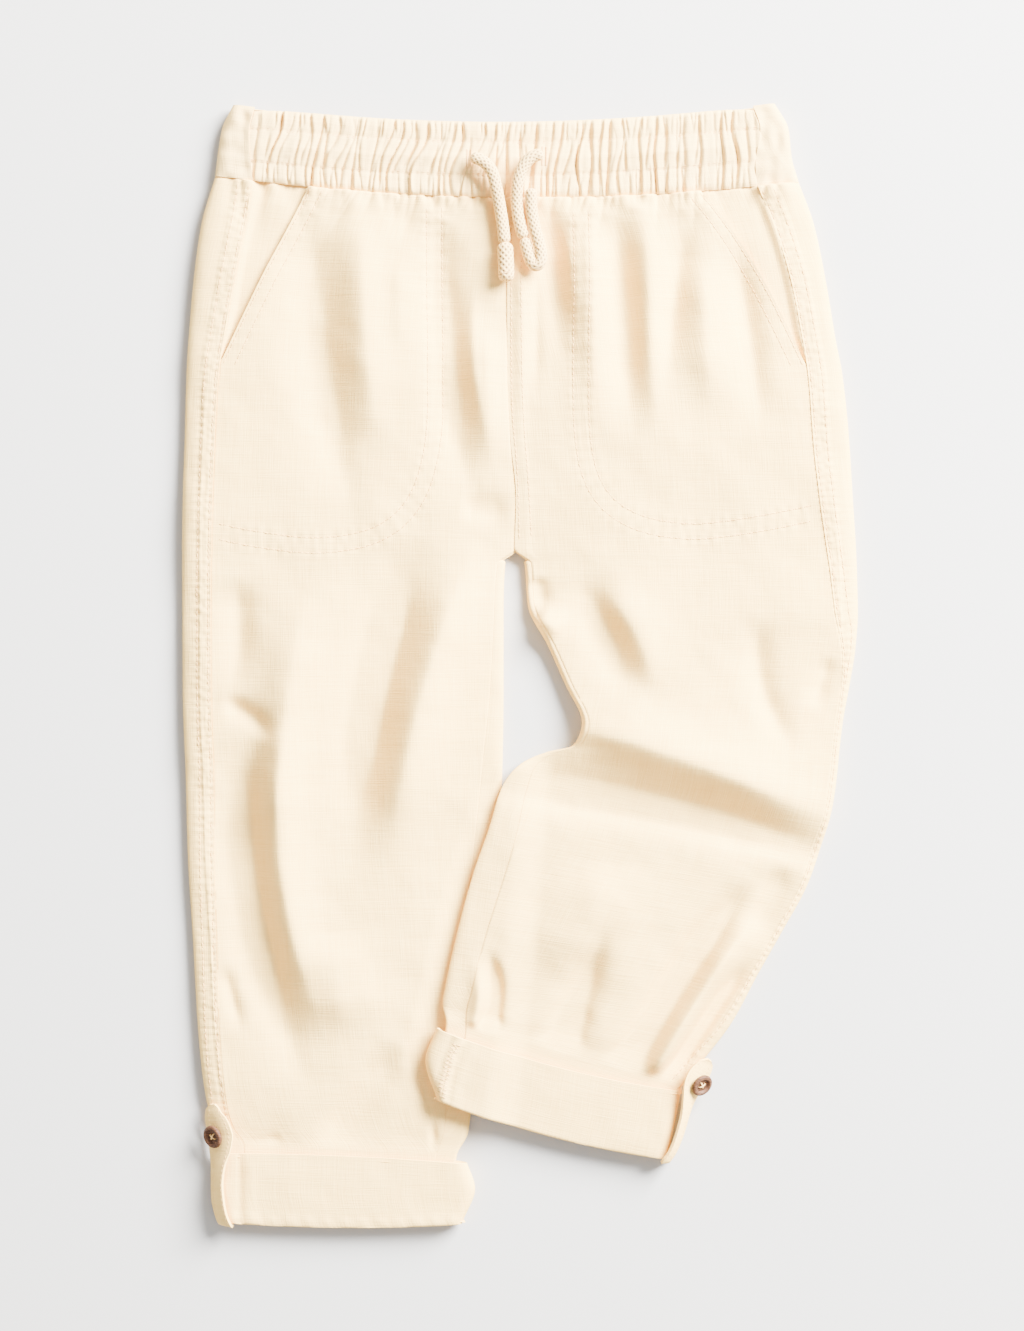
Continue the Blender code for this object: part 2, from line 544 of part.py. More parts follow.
def band_seam(depth, side):
    """Share of the waistband's width at which a side seam lies."""
    left_x, _ = band_place(0.0, depth)
    right_x, _ = band_place(1.0, depth)
    leg = RIGHT_LEG if side == "right" else LEFT_LEG
    inward = FRONT_SEAM_TOP + (leg[0].side_seam - FRONT_SEAM_TOP) * depth
    share = inward / (right_x - left_x)
    return share if side == "right" else 1.0 - share


def seam_point(depth, side, inset):
    """A point on the casing's side seam, which runs straight between its rows of stitching."""
    if depth in (0.0, 1.0):
        share = band_seam(depth, side)
        x, y = band_place(share, depth)
    else:
        high, low = BAND_ROWS[1].depth, BAND_ROWS[-2].depth
        begin = np.array(band_place(band_seam(high, side), high))
        finish = np.array(band_place(band_seam(low, side), low))
        x, y = begin + (finish - begin) * (depth - high) / (low - high)
    return x + (inset if side == "right" else -inset), y


def gather_columns(dice):
    """Each gather's crest and the two sides of its trough, 0 to 1 across the band."""
    widths = [dice.uniform(0.75, 1.25) for _ in range(GATHERS)]
    heights = [dice.uniform(0.65, 1.1) for _ in range(GATHERS)]
    leans = [dice.uniform(-0.35, 0.35) for _ in range(GATHERS)]
    columns = [Column(0.0, 0.0, 0.0)]
    start = 0.0
    for width, height, lean in zip(widths, heights, leans):
        pitch = width / sum(widths)
        columns.append(Column(start + pitch * 0.28, height, lean * pitch))
        columns.append(Column(start + pitch * 0.62, -height, lean * pitch))
        columns.append(Column(start + pitch * 0.86, -height * 0.8, lean * pitch))
        start += pitch
    columns.append(Column(1.0, 0.0, 0.0))
    return columns


def band_front_grids():
    """Outer and inner points of the front casing."""
    columns = gather_columns(random.Random(11))
    outer = []
    inner = []
    for row in BAND_ROWS:
        first = band_seam(row.depth, "right")
        last = band_seam(row.depth, "left")
        outer_row = []
        inner_row = []
        for column in columns:
            swing = column.lean * (row.depth - 0.5) * 2.0
            share = first + (last - first) * (column.share + swing)
            x, y = band_place(share, row.depth)
            if column.share in (0.0, 1.0):
                x, y = seam_point(row.depth, "left" if column.share else "right", GAP)
            at_end = abs(2.0 * column.share - 1.0) ** 12
            y -= BAND_STEP * at_end * (1.0 - row.depth)
            height = row.height + (BAND_END - row.height) * at_end * 0.6
            z = height + FRONT_GATHER * row.gather * column.wave
            outer_row.append((x, y, z))
            inner_row.append((x, y, BAND_SPLIT + HALF_GAP))
        outer.append(outer_row)
        inner.append(inner_row)
    return np.array(outer, float), np.array(inner, float)


def band_edge(seam, rise):
    """One section of the back casing's turned edge, from its side seam to below.

    Each point is a share and height outside, then a share and height inside.
    """
    reach = BAND_REACH / BAND_WIDTH
    lip = BAND_END - rise * 0.8
    under = lip - BAND_WALL
    return [
        (seam, lip, seam, under),
        (reach, lip - 0.2, reach, under - 0.1),
        (reach * 0.33, BAND_END * 0.78, 3.2 / BAND_WIDTH, BAND_END * 0.62),
        (0.0, BAND_END / 2, 2.8 / BAND_WIDTH, BAND_END / 2 + 0.35),
        (reach * 0.33, BAND_END * 0.2 + rise * 0.4, 3.4 / BAND_WIDTH, BAND_SPLIT - HALF_GAP),
        (reach, rise, reach, BAND_SPLIT - HALF_GAP),
    ]


def band_back_grids():
    """Outer and inner points of the back casing, from side seam to side seam."""
    columns = gather_columns(random.Random(23))[1:-1]
    start = 2.2 * BAND_REACH / BAND_WIDTH
    outer = []
    inner = []
    for depth, rise in BACK_ROWS:
        row = band_edge(band_seam(depth, "right"), rise)
        for column in columns:
            share = start + (1.0 - 2.0 * start) * column.share
            groove = BACK_GATHER * max(0.0, -column.wave)
            row.append((share, rise + groove, share, BAND_SPLIT - HALF_GAP))
        for point in band_edge(1.0 - band_seam(depth, "left"), rise)[::-1]:
            row.append((1.0 - point[0], point[1], 1.0 - point[2], point[3]))
        outer.append([(*band_place(point[0], depth), point[1]) for point in row])
        inner.append([(*band_place(point[2], depth), point[3]) for point in row])
    return np.array(outer, float), np.array(inner, float)


def cuff_ring(cuff, at):
    """A rolled hem's section, between 0 at its upper edge and 2 at its fold."""
    knots = np.arange(len(cuff), dtype=float)
    values = {name: float(through(knots, [getattr(row, name) for row in cuff], at))
              for name in CuffSection._fields}
    return SimpleNamespace(**values)


def cuff_grid(cuff, leg, steps=5):
    """Outer face of a rolled hem, as rings from its upper edge to its fold."""
    rings = []
    for at in np.linspace(0.0, 2.0, steps):
        ring = cuff_ring(cuff, at)
        width = math.hypot(ring.inner_x - ring.outer_x, ring.inner_y - ring.outer_y)
        flat = [width - distance - CUFF_PROUD for distance in UNDER_COLUMNS]
        turns = [math.radians(angle) for angle in CUFF_ANGLES]
        line = [(CUFF_ROUND * (1.0 - math.cos(t)), 0.5 + 0.5 * math.sin(t)) for t in turns]
        for inward in flat:
            ripple = CUFF_RIPPLE * (1.0 + math.sin(inward * 0.31 + at * 2.0))
            line.append((inward, 1.0 + ripple))
        for t in turns[::-1]:
            line.append((width - CUFF_ROUND * (1.0 - math.cos(t)), 0.5 + 0.5 * math.sin(t)))
        line += [(inward, 0.0) for inward in flat[::-1]]
        points = []
        for inward, level in line:
            share = inward / width
            x = ring.outer_x + (ring.inner_x - ring.outer_x) * share
            y = ring.outer_y + (ring.inner_y - ring.outer_y) * share
            y -= ring.sag * 4.0 * share * (1.0 - share)
            base = float(crossing(x, y)) if leg.side == "left" else 0.0
            points.append((x, y, base + level * ring.height))
        rings.append(points)
    return np.array(rings, float)


def tab_point(tab, row, share):
    """A point of a tab's inner face, at a row of its table and a share across it."""
    knots = np.arange(len(tab), dtype=float)
    ends = np.array([through(knots, column, row) for column in np.array(tab).T])
    outer, inner = ends[:3], ends[3:]
    across = inner - outer
    along = np.array([through(knots, column, min(row + 0.1, knots[-1]))
                      - through(knots, column, max(row - 0.1, 0.0))
                      for column in np.array(tab).T[:3]])
    facing = np.cross(across, along)
    facing /= np.linalg.norm(facing) * (1.0 if facing[2] > 0.0 else -1.0)
    bulge = TAB_BULGE * 4.0 * share * (1.0 - share) * smooth(row / 4.0)
    return outer + across * share + facing * bulge, facing


def tab_grid(tab):
    """A tab's inner face: round end, over the hem, and down over its fold."""
    shares = np.linspace(0.0, 1.0, TAB_COLUMNS)
    return np.array([[tab_point(tab, row, share)[0] for share in shares]
                     for row in range(len(tab))])


def material(name, colour, roughness):
    made = bpy.data.materials.new(name)
    made.use_nodes = True
    shader = made.node_tree.nodes["Principled BSDF"]
    shader.inputs["Base Color"].default_value = (*colour, 1.0)
    shader.inputs["Roughness"].default_value = roughness
    shader.inputs["Metallic"].default_value = 0.0
    return made


def add_object(name, mesh, collection, finish):
    made = bpy.data.objects.new(name, mesh)
    mesh.materials.append(finish)
    collection.objects.link(made)
    return made


def grid_faces(rows, columns, around=False):
    """Quads of a grid whose normals point up when columns run +X and rows -Y."""
    faces = []
    last = columns if around else columns - 1
    for i in range(rows - 1):
        for j in range(last):
            k = (j + 1) % columns
            faces.append((i * columns + j, (i + 1) * columns + j,
                          (i + 1) * columns + k, i * columns + k))
    return faces


def cloth(name, grid, wall, collection, finish, flip=False, around=False, outward=False):
    """A panel: an open sheet through the grid, given its wall by Solidify."""
    rows, columns = grid.shape[:2]
    faces = grid_faces(rows, columns, around)
    if flip:
        faces = [face[::-1] for face in faces]
    mesh = bpy.data.meshes.new(name)
    mesh.from_pydata((grid.reshape(-1, 3) * MM).tolist(), [], faces)
    mesh.shade_smooth()
    made = add_object(name, mesh, collection, finish)
    thicken = made.modifiers.new("Wall", "SOLIDIFY")
    thicken.thickness = wall * MM
    thicken.offset = 1.0 if outward else -1.0
    thicken.use_even_offset = not outward
    return made


def casing(name, outer, inner, collection, finish, flip=False):
    """A closed loft between a gathered outer face and a plainer inner one."""
    rows, columns = outer.shape[:2]
    count = rows * columns
    faces = grid_faces(rows, columns)
    below = [tuple(v + count for v in face[::-1]) for face in faces]
    rim = []
    for j in range(columns - 1):
        rim.append((j, j + 1, count + j + 1, count + j))
        k = (rows - 1) * columns + j
        rim.append((k + 1, k, count + k, count + k + 1))
    for i in range(rows - 1):
        k = i * columns
        rim.append((k + columns, k, count + k, count + k + columns))
        k = i * columns + columns - 1
        rim.append((k, k + columns, count + k + columns, count + k))
    faces = faces + below + rim
    if flip:
        faces = [face[::-1] for face in faces]
    mesh = bpy.data.meshes.new(name)
    points = np.concatenate([outer.reshape(-1, 3), inner.reshape(-1, 3)]) * MM
    mesh.from_pydata(points.tolist(), [], faces)
    mesh.set_sharp_from_angle(angle=math.radians(50))
    return add_object(name, mesh, collection, finish)


def smooth_route(points, count):
    """Evenly spread points on a smooth curve through a cord's route."""
    route = np.array(points, float)
    runs = np.linalg.norm(np.diff(route, axis=0), axis=1)
    knots = np.concatenate([[0.0], np.cumsum(runs)])
    at = np.linspace(0.0, knots[-1], count)
    padded = np.vstack([2 * route[0] - route[1], route, 2 * route[-1] - route[-2]])
    made = []
    for distance in at:
        k = min(int(np.searchsorted(knots, distance, side="right")) - 1, len(route) - 2)
        t = (distance - knots[k]) / runs[k]
        a, b, c, d = padded[k:k + 4]
        made.append(0.5 * (2 * b + (c - a) * t + (2 * a - 5 * b + 4 * c - d) * t * t
                           + (3 * b - a - 3 * c + d) * t ** 3))
    return np.array(made)


def cord(name, route, collection, finish):
    """A free cord: a round tube along a smooth route."""
    curve = bpy.data.curves.new(name, "CURVE")
    curve.dimensions = "3D"
    curve.bevel_depth = CORD_WIDTH / 2 * MM
    curve.bevel_resolution = 3
    curve.use_fill_caps = True
    spline = curve.splines.new("POLY")
    points = smooth_route(route, 9)
    spline.points.add(len(points) - 1)
    for spot, point in zip(spline.points, points):
        spot.co = (*(point * MM), 1.0)
    return add_object(name, curve, collection, finish)


def cord_end(name, start, tip, collection, finish):
    """The doubled, bar-stitched end of a cord: a thicker, softly rounded barrel."""
    start = Vector(start)
    tip = Vector(tip)
    axis = (tip - start).normalized()
    begin = start + axis * GAP
    length = (tip - begin).length
    half = CORD_END_WIDTH / 2
    profile = ((0.0, 0.0), (half * 0.82, 0.0), (half, 0.12), (half, 0.55), (half * 0.93, 0.68),
               (half, 0.8), (half * 0.9, 0.95), (half * 0.6, 1.0), (0.0, 1.0))
    mesh = bpy.data.meshes.new(name)
    work = bmesh.new()
    ends = [work.verts.new((r * MM, 0.0, -share * length * MM)) for r, share in profile]
    edges = [work.edges.new(pair) for pair in zip(ends[:-1], ends[1:])]
    bmesh.ops.spin(work, geom=ends + edges, cent=(0, 0, 0), axis=(0, 0, 1),
                   angle=math.tau, steps=12, use_merge=True)
    bmesh.ops.remove_doubles(work, verts=work.verts, dist=0.00001)
    bmesh.ops.recalc_face_normals(work, faces=work.faces)
    work.to_mesh(mesh)
    work.free()
    turn = Vector((0, 0, -1)).rotation_difference(axis).to_matrix().to_4x4()
    mesh.transform(Matrix.Translation(begin * MM) @ turn)
    mesh.shade_smooth()
    return add_object(name, mesh, collection, finish)


def button(name, spot, axis, collection, cutters, finish):
    """A turned four-hole button: raised rim, dished face, round-edged back."""
    radius = BUTTON_WIDTH / 2
    thick = BUTTON_THICK
    profile = ((0.0, thick * 0.55), (radius * 0.55, thick * 0.55), (radius * 0.68, thick * 0.95),
               (radius * 0.84, thick), (radius * 0.97, thick * 0.8), (radius, thick * 0.5),
               (radius * 0.86, thick * 0.12), (radius * 0.6, 0.0), (0.0, 0.0))
    mesh = bpy.data.meshes.new(name)
    work = bmesh.new()
    ends = [work.verts.new((r * MM, 0.0, z * MM)) for r, z in profile]
    edges = [work.edges.new(pair) for pair in zip(ends[:-1], ends[1:])]
    bmesh.ops.spin(work, geom=ends + edges, cent=(0, 0, 0), axis=(0, 0, 1),
                   angle=math.tau, steps=20, use_merge=True)
    bmesh.ops.remove_doubles(work, verts=work.verts, dist=0.00001)
    bmesh.ops.recalc_face_normals(work, faces=work.faces)
    work.to_mesh(mesh)
    work.free()
    mesh.shade_smooth()
    made = add_object(name, mesh, collection, finish)
    drill = bpy.data.meshes.new(name + "_holes")
    work = bmesh.new()
    for k in range(4):
        turn = math.tau * (k + 0.5) / 4
        place = Matrix.Translation((1.75 * MM * math.cos(turn), 1.75 * MM * math.sin(turn), 0.0))
        bmesh.ops.create_cone(work, cap_ends=True, segments=8, radius1=0.7 * MM,
                              radius2=0.7 * MM, depth=4 * thick * MM, matrix=place)
    work.to_mesh(drill)
    work.free()
    holes = bpy.data.objects.new(name + "_holes", drill)
    cutters.objects.link(holes)
    holes.hide_render = True
    holes.display_type = "WIRE"
    cut = made.modifiers.new("Holes", "BOOLEAN")
    cut.operation = "DIFFERENCE"
    cut.object = holes
    turn = Vector((0, 0, 1)).rotation_difference(Vector(axis)).to_matrix().to_4x4()
    pose = Matrix.Translation(Vector(spot) * MM) @ turn
    made.matrix_world = pose
    holes.matrix_world = pose
    return made


def build():
    for old in list(bpy.data.objects):
        bpy.data.objects.remove(old, do_unlink=True)
    trousers = bpy.data.collections.new("linen_trousers")
    cutters = bpy.data.collections.new("cutters")
    bpy.context.scene.collection.children.link(trousers)
    bpy.context.scene.collection.children.link(cutters)

    band_linen = material("gathered linen", (0.86, 0.77, 0.62), 0.9)
    back_linen = material("linen, wrapped edge", (0.83, 0.74, 0.60), 0.9)
    front_linen = material("linen", (0.88, 0.80, 0.66), 0.9)
    cord_cotton = material("braided cotton", (0.84, 0.75, 0.60), 0.95)
    coconut = material("coconut shell", (0.16, 0.09, 0.05), 0.5)

    legs = (Leg(RIGHT_LEG, RIGHT_FOLDS, "right"), Leg(LEFT_LEG, LEFT_FOLDS, "left"))
    cuffs = {"right": RIGHT_CUFF, "left": LEFT_CUFF}
    tabs = {"right": RIGHT_TAB, "left": LEFT_TAB}
    buttons = {"right": RIGHT_BUTTON, "left": LEFT_BUTTON}
    cords = {"right": (RIGHT_CORD, RIGHT_CORD_TIP), "left": (LEFT_CORD, LEFT_CORD_TIP)}

    outer, inner = band_front_grids()
    casing("waistband_front", outer, inner, trousers, band_linen)
    outer, inner = band_back_grids()
    casing("waistband_back", outer, inner, trousers, band_linen, flip=True)

    for leg in legs:
        side = leg.side
        on_right = side == "right"
        cloth("front_" + side, front_grid(leg), WALL, trousers, front_linen, flip=not on_right)
        cloth("back_" + side, back_grid(leg), WALL, trousers, back_linen, flip=on_right)
        cloth("pocket_facing_" + side, facing_grid(leg), WALL, trousers, back_linen,
              flip=not on_right)
        cloth("cuff_" + side, cuff_grid(cuffs[side], leg), CUFF_WALL, trousers, front_linen,
              flip=not on_right, around=True)
        cloth("tab_" + side, tab_grid(tabs[side]), TAB_WALL, trousers, front_linen,
              flip=not on_right, outward=True)
        route, tip = cords[side]
        cord("drawcord_" + side, route, trousers, cord_cotton)
        cord_end("cord_end_" + side, route[-1], tip, trousers, cord_cotton)
        spot, facing = tab_point(tabs[side], *buttons[side])
        spot = spot + facing * (TAB_WALL + BUTTON_GAP)
        button("button_" + side, spot, facing, trousers, cutters, coconut)


build()
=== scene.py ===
# %% [markdown]
# # A small child's linen trousers, laid flat
# The trousers lie on their back on a pale table. One leg is straight, the other
# is bent so that its lower half crosses the first. This lesson dresses the
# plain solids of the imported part: it makes thin cloth shells with the creases,
# gathers, stitching, cord and buttons of the real garment.
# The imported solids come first, because every piece below has to fit them.

# %% Load the solids
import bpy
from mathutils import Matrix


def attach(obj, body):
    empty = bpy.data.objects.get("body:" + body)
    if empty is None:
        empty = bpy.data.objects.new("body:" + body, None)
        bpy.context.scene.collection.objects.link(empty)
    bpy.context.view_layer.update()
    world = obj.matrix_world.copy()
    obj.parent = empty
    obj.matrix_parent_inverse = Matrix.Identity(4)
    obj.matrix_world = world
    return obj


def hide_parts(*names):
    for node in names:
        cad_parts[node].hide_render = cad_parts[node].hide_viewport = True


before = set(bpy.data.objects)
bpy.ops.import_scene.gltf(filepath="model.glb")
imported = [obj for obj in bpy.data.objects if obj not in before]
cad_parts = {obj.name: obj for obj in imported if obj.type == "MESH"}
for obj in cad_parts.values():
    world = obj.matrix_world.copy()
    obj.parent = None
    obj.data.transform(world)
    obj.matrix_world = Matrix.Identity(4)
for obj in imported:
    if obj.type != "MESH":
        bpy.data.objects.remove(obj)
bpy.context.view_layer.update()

# %% Tools used by every cell
import math
import random
from collections import namedtuple
from types import SimpleNamespace

import bpy
import numpy as np
from mathutils import Matrix, Vector
from mathutils.bvhtree import BVHTree

MM = 0.001


def deselect():
    """Operators act on all that is selected, so nothing else may be."""
    for thing in bpy.context.selected_objects:
        thing.select_set(False)


def choose(*things):
    """Selects these pieces alone, the first one active."""
    deselect()
    for thing in things:
        thing.select_set(True)
    bpy.context.view_layer.objects.active = things[0]


def just_made(name):
    """The object that an operator has just left active, under its own name."""
    made = bpy.context.object
    made.name = name
    made.data.name = name
    return made


deselect()

# %% [markdown]
# ## Camera, table and light
# The photograph looks straight down from far away, so the camera hangs over the
# trousers with a long lens. Two pixels are one millimetre.
# The light is one large soft window at the upper right, which is why the shade
# of each fold falls to the lower left, and a bright room fills the shadows.

# %% Camera
PIXEL = 0.0005
FRAME_WIDTH = 1024
FRAME_MIDDLE = (-0.004, -0.0005)
lens_view = bpy.data.cameras.new("view_from_above")
lens_view.lens = 100.0
lens_view.sensor_fit = "HORIZONTAL"
lens_view.sensor_width = 36.0
camera = bpy.data.objects.new("view_from_above", lens_view)
bpy.context.scene.collection.objects.link(camera)
height = FRAME_WIDTH * PIXEL * lens_view.lens / lens_view.sensor_width
camera.location = (*FRAME_MIDDLE, height)
bpy.context.scene.camera = camera
print("camera height:", round(height, 3), "m")

# %% Table and light
TABLE_SIZE = 6.0
TABLE_HEIGHT = -0.0004


def new_material(name, roughness, specular):
    """A material with its gloss set, and its nodes, links and shader to go on with."""
    made = bpy.data.materials.new(name)
    made.use_nodes = True
    shader = made.node_tree.nodes["Principled BSDF"]
    shader.inputs["Roughness"].default_value = roughness
    shader.inputs["Specular IOR Level"].default_value = specular
    return made, made.node_tree.nodes, made.node_tree.links, shader


bpy.ops.mesh.primitive_plane_add(size=TABLE_SIZE, location=(0.0, 0.0, TABLE_HEIGHT))
table = just_made("table")
table_finish, _, _, table_shader = new_material("pale table", 0.9, 0.1)
table_shader.inputs["Base Color"].default_value = (0.50, 0.497, 0.49, 1.0)
table.data.materials.append(table_finish)

window = bpy.data.lights.new("window", "AREA")
window.shape = "RECTANGLE"
window.size = 1.5
window.size_y = 1.2
window.energy = 1050.0
window.color = (1.0, 0.985, 0.96)
window_place = bpy.data.objects.new("window", window)
window_place.location = (1.55, 1.35, 1.25)
window_place.rotation_euler = (-window_place.location).to_track_quat("-Z", "Y").to_euler()
bpy.context.scene.collection.objects.link(window_place)

ROOM_LIGHT = 1.2
room = bpy.data.worlds.new("bright room")
room.use_nodes = True
room_shader = room.node_tree.nodes["Background"]
room_shader.inputs["Color"].default_value = (1.0, 0.99, 0.98, 1.0)
room_shader.inputs["Strength"].default_value = ROOM_LIGHT
bpy.context.scene.world = room
print("lights:", window.name, window.energy, "W, room", ROOM_LIGHT)

# %% [markdown]
# ## The drawcord
# A soft braided cotton cord comes out of two buttonholes in the middle of the
# waistband. Each end is doubled back on itself and sewn down with a bar of
# thread. A braid is a tube with strands that cross in two directions, so the
# cord is a tube whose skin is lifted where a strand passes over another.
# The cords come first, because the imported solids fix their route.

# %% Points along a route


def run_along(line):
    """How far along a line each of its points lies."""
    runs = np.linalg.norm(np.diff(np.asarray(line, float), axis=0), axis=1)
    return np.concatenate([[0.0], np.cumsum(runs)])


def run_across(points):
    """The same for each row of a grid of points."""
    return np.array([run_along(row) for row in points])


def cloth_places(across, down):
    """Where each point of a grid lies on its flat cloth, for the UV map."""
    return np.stack(np.broadcast_arrays(across, down), axis=-1)


def route_points(points, count):
    """Evenly spread points on a smooth curve through a route."""
    route = np.array(points, float)
    knots = run_along(route)
    padded = np.vstack([2 * route[0] - route[1], route, 2 * route[-1] - route[-2]])
    made = []
    for distance in np.linspace(0.0, knots[-1], count):
        k = min(int(np.searchsorted(knots, distance, side="right")) - 1, len(route) - 2)
        t = (distance - knots[k]) / (knots[k + 1] - knots[k])
        a, b, c, d = padded[k:k + 4]
        made.append(0.5 * (2 * b + (c - a) * t + (2 * a - 5 * b + 4 * c - d) * t * t
                           + (3 * b - a - 3 * c + d) * t ** 3))
    return np.array(made)


print("a step of 3 by 4 mm is", run_along(((0.0, 0.0), (3.0, 4.0)))[-1], "mm long")

# %% From a grid to a closed tube


def new_grid(name, rows, columns):
    """Blender's own grid, with rows + 1 by columns + 1 points and a UV map."""
    deselect()
    bpy.ops.mesh.primitive_grid_add(x_subdivisions=columns, y_subdivisions=rows, size=1.0)
    return just_made(name)


def shape_grid(made, points, uv):
    """Puts a grid's points, in millimetres, and its UV map, in metres of cloth."""
    mesh = made.data
    mesh.vertices.foreach_set("co", (points.reshape(-1, 3) * MM).ravel())
    index = np.zeros(len(mesh.loops), np.int32)
    mesh.loops.foreach_get("vertex_index", index)
    mesh.uv_layers.active.data.foreach_set("uv", (uv.reshape(-1, 2)[index] * MM).ravel())
    mesh.uv_layers.active.name = "cloth"
    mesh.update()


def close_tube(made):
    """Sews the first and last column of a grid together and points its faces out."""
    choose(made)
    bpy.ops.object.mode_set(mode="EDIT")
    bpy.ops.mesh.select_all(action="SELECT")
    bpy.ops.mesh.remove_doubles(threshold=0.00002)
    bpy.ops.mesh.normals_make_consistent(inside=False)
    bpy.ops.object.mode_set(mode="OBJECT")
    spots = [v.co for v in made.data.vertices]
    middle = sum(spots, Vector()) / len(spots)
    outward = sum((p.center - middle).dot(p.normal) * p.area for p in made.data.polygons)
    if outward < 0.0:
        made.data.flip_normals()
    bpy.ops.object.shade_smooth()


# %% A tube with a braided skin
CORD_WIDTH = 6.0
CORE_SHARE = 0.965      # the strands stand out from here to about the full width
CORD_RADIUS = CORD_WIDTH / 2 * CORE_SHARE
STRANDS = 8
BRAID_LENGTH = 24.0     # along the cord for one turn of a strand


def braid(around, along, radius):
    """How far a braid's skin stands out: strands run both ways round the tube."""
    advance = math.tau * along * STRANDS / BRAID_LENGTH
    one = np.cos(STRANDS * around + advance)
    other = np.cos(STRANDS * around - advance)
    return radius * (0.085 * np.maximum(one, other) - 0.02)


def braided_tube(name, route, width, ends=(1.0, 1.0), step=0.38, around=56):
    """A braided tube along a route, closed and rounded at both ends."""
    length = float(run_along(route)[-1])
    count = max(12, int(length / step))
    line = route_points(route, count)
    tangent = np.gradient(line, axis=0)
    tangent /= np.linalg.norm(tangent, axis=1)[:, None]
    side = np.cross(tangent, (0.0, 0.0, 1.0))
    side /= np.linalg.norm(side, axis=1)[:, None]
    up = np.cross(side, tangent)
    along = np.linspace(0.0, length, count)
    radius = width / 2 * CORE_SHARE
    cap = width * 0.45
    taper = np.ones(count)
    for distance, rounded in ((along, ends[0]), (length - along, ends[1])):
        near = np.clip(distance / cap, 0.0, 1.0)
        taper = np.minimum(taper, 1.0 - rounded * (1.0 - np.sqrt(1.0 - (1.0 - near) ** 2)))
    taper[0] = taper[-1] = 0.0
    turn = np.linspace(0.0, math.tau, around + 1)
    skin = radius * taper[:, None] + braid(turn[None, :], along[:, None], radius) * taper[:, None]
    outward = (np.cos(turn)[None, :, None] * side[:, None, :]
               + np.sin(turn)[None, :, None] * up[:, None, :])
    points = line[:, None, :] + skin[..., None] * outward
    made = new_grid(name, count - 1, around)
    shape_grid(made, points, cloth_places(turn[None, :] * CORD_RADIUS, along[:, None]))
    close_tube(made)
    return made, line


print("a cord's core:", CORD_RADIUS, "mm; a strand turns once in", BRAID_LENGTH, "mm")

# %% The two free ends
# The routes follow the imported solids, from the buttonhole to the sewn end.
RIGHT_CORD = ((-24.5, 251.6, 13.9), (-18.6, 249.2, 14.2), (-14.2, 244.4, 14.0),
              (-12.0, 237.0, 13.2), (-10.2, 228.0, 12.0), (-8.6, 218.0, 11.8),
              (-7.6, 208.6, 11.8))
LEFT_CORD = ((11.6, 253.0, 13.9), (5.6, 251.0, 14.2), (1.0, 245.6, 14.0),
             (-1.1, 238.4, 13.4), (-1.6, 230.0, 12.2), (-0.6, 220.6, 12.0),
             (2.0, 211.0, 12.0))
RIGHT_TIP = ((-7.6, 209.6, 11.8), (-7.0, 199.0, 12.0), (-6.8, 189.6, 12.2))
LEFT_TIP = ((1.9, 211.6, 12.0), (4.4, 202.6, 12.0), (6.8, 198.2, 12.3), (9.4, 198.6, 12.6),
            (10.4, 202.6, 12.6), (9.4, 208.6, 12.4), (7.2, 216.6, 12.2), (5.6, 226.0, 12.4),
            (5.4, 236.0, 13.2))
cords = {}
for side, route, tip, tip_width in (("right", RIGHT_CORD, RIGHT_TIP, 7.8),
                                    ("left", LEFT_CORD, LEFT_TIP, CORD_WIDTH)):
    cord_piece, line = braided_tube("cord_" + side, route, CORD_WIDTH)
    tip_piece, _ = braided_tube("cord_tip_" + side, tip, tip_width)
    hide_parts("drawcord_" + side)
    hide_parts("cord_end_" + side)
    length = float(run_along(line)[-1]) * MM
    cords[side] = (cord_piece, tip_piece)
    print("cord", side, "shows", round(length, 4), "m")

# %% [markdown]
# ## The outline of the legs
# A flat pair of trousers is two layers of cloth, so it can be described by rows
# across each leg: where the outline is, where the seams are and how high the
# upper layer lies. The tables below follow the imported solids, in millimetres,
# and the rolled hems are set closer to the photograph than a rigid solid needs.
# A smooth curve through the rows gives every place between.

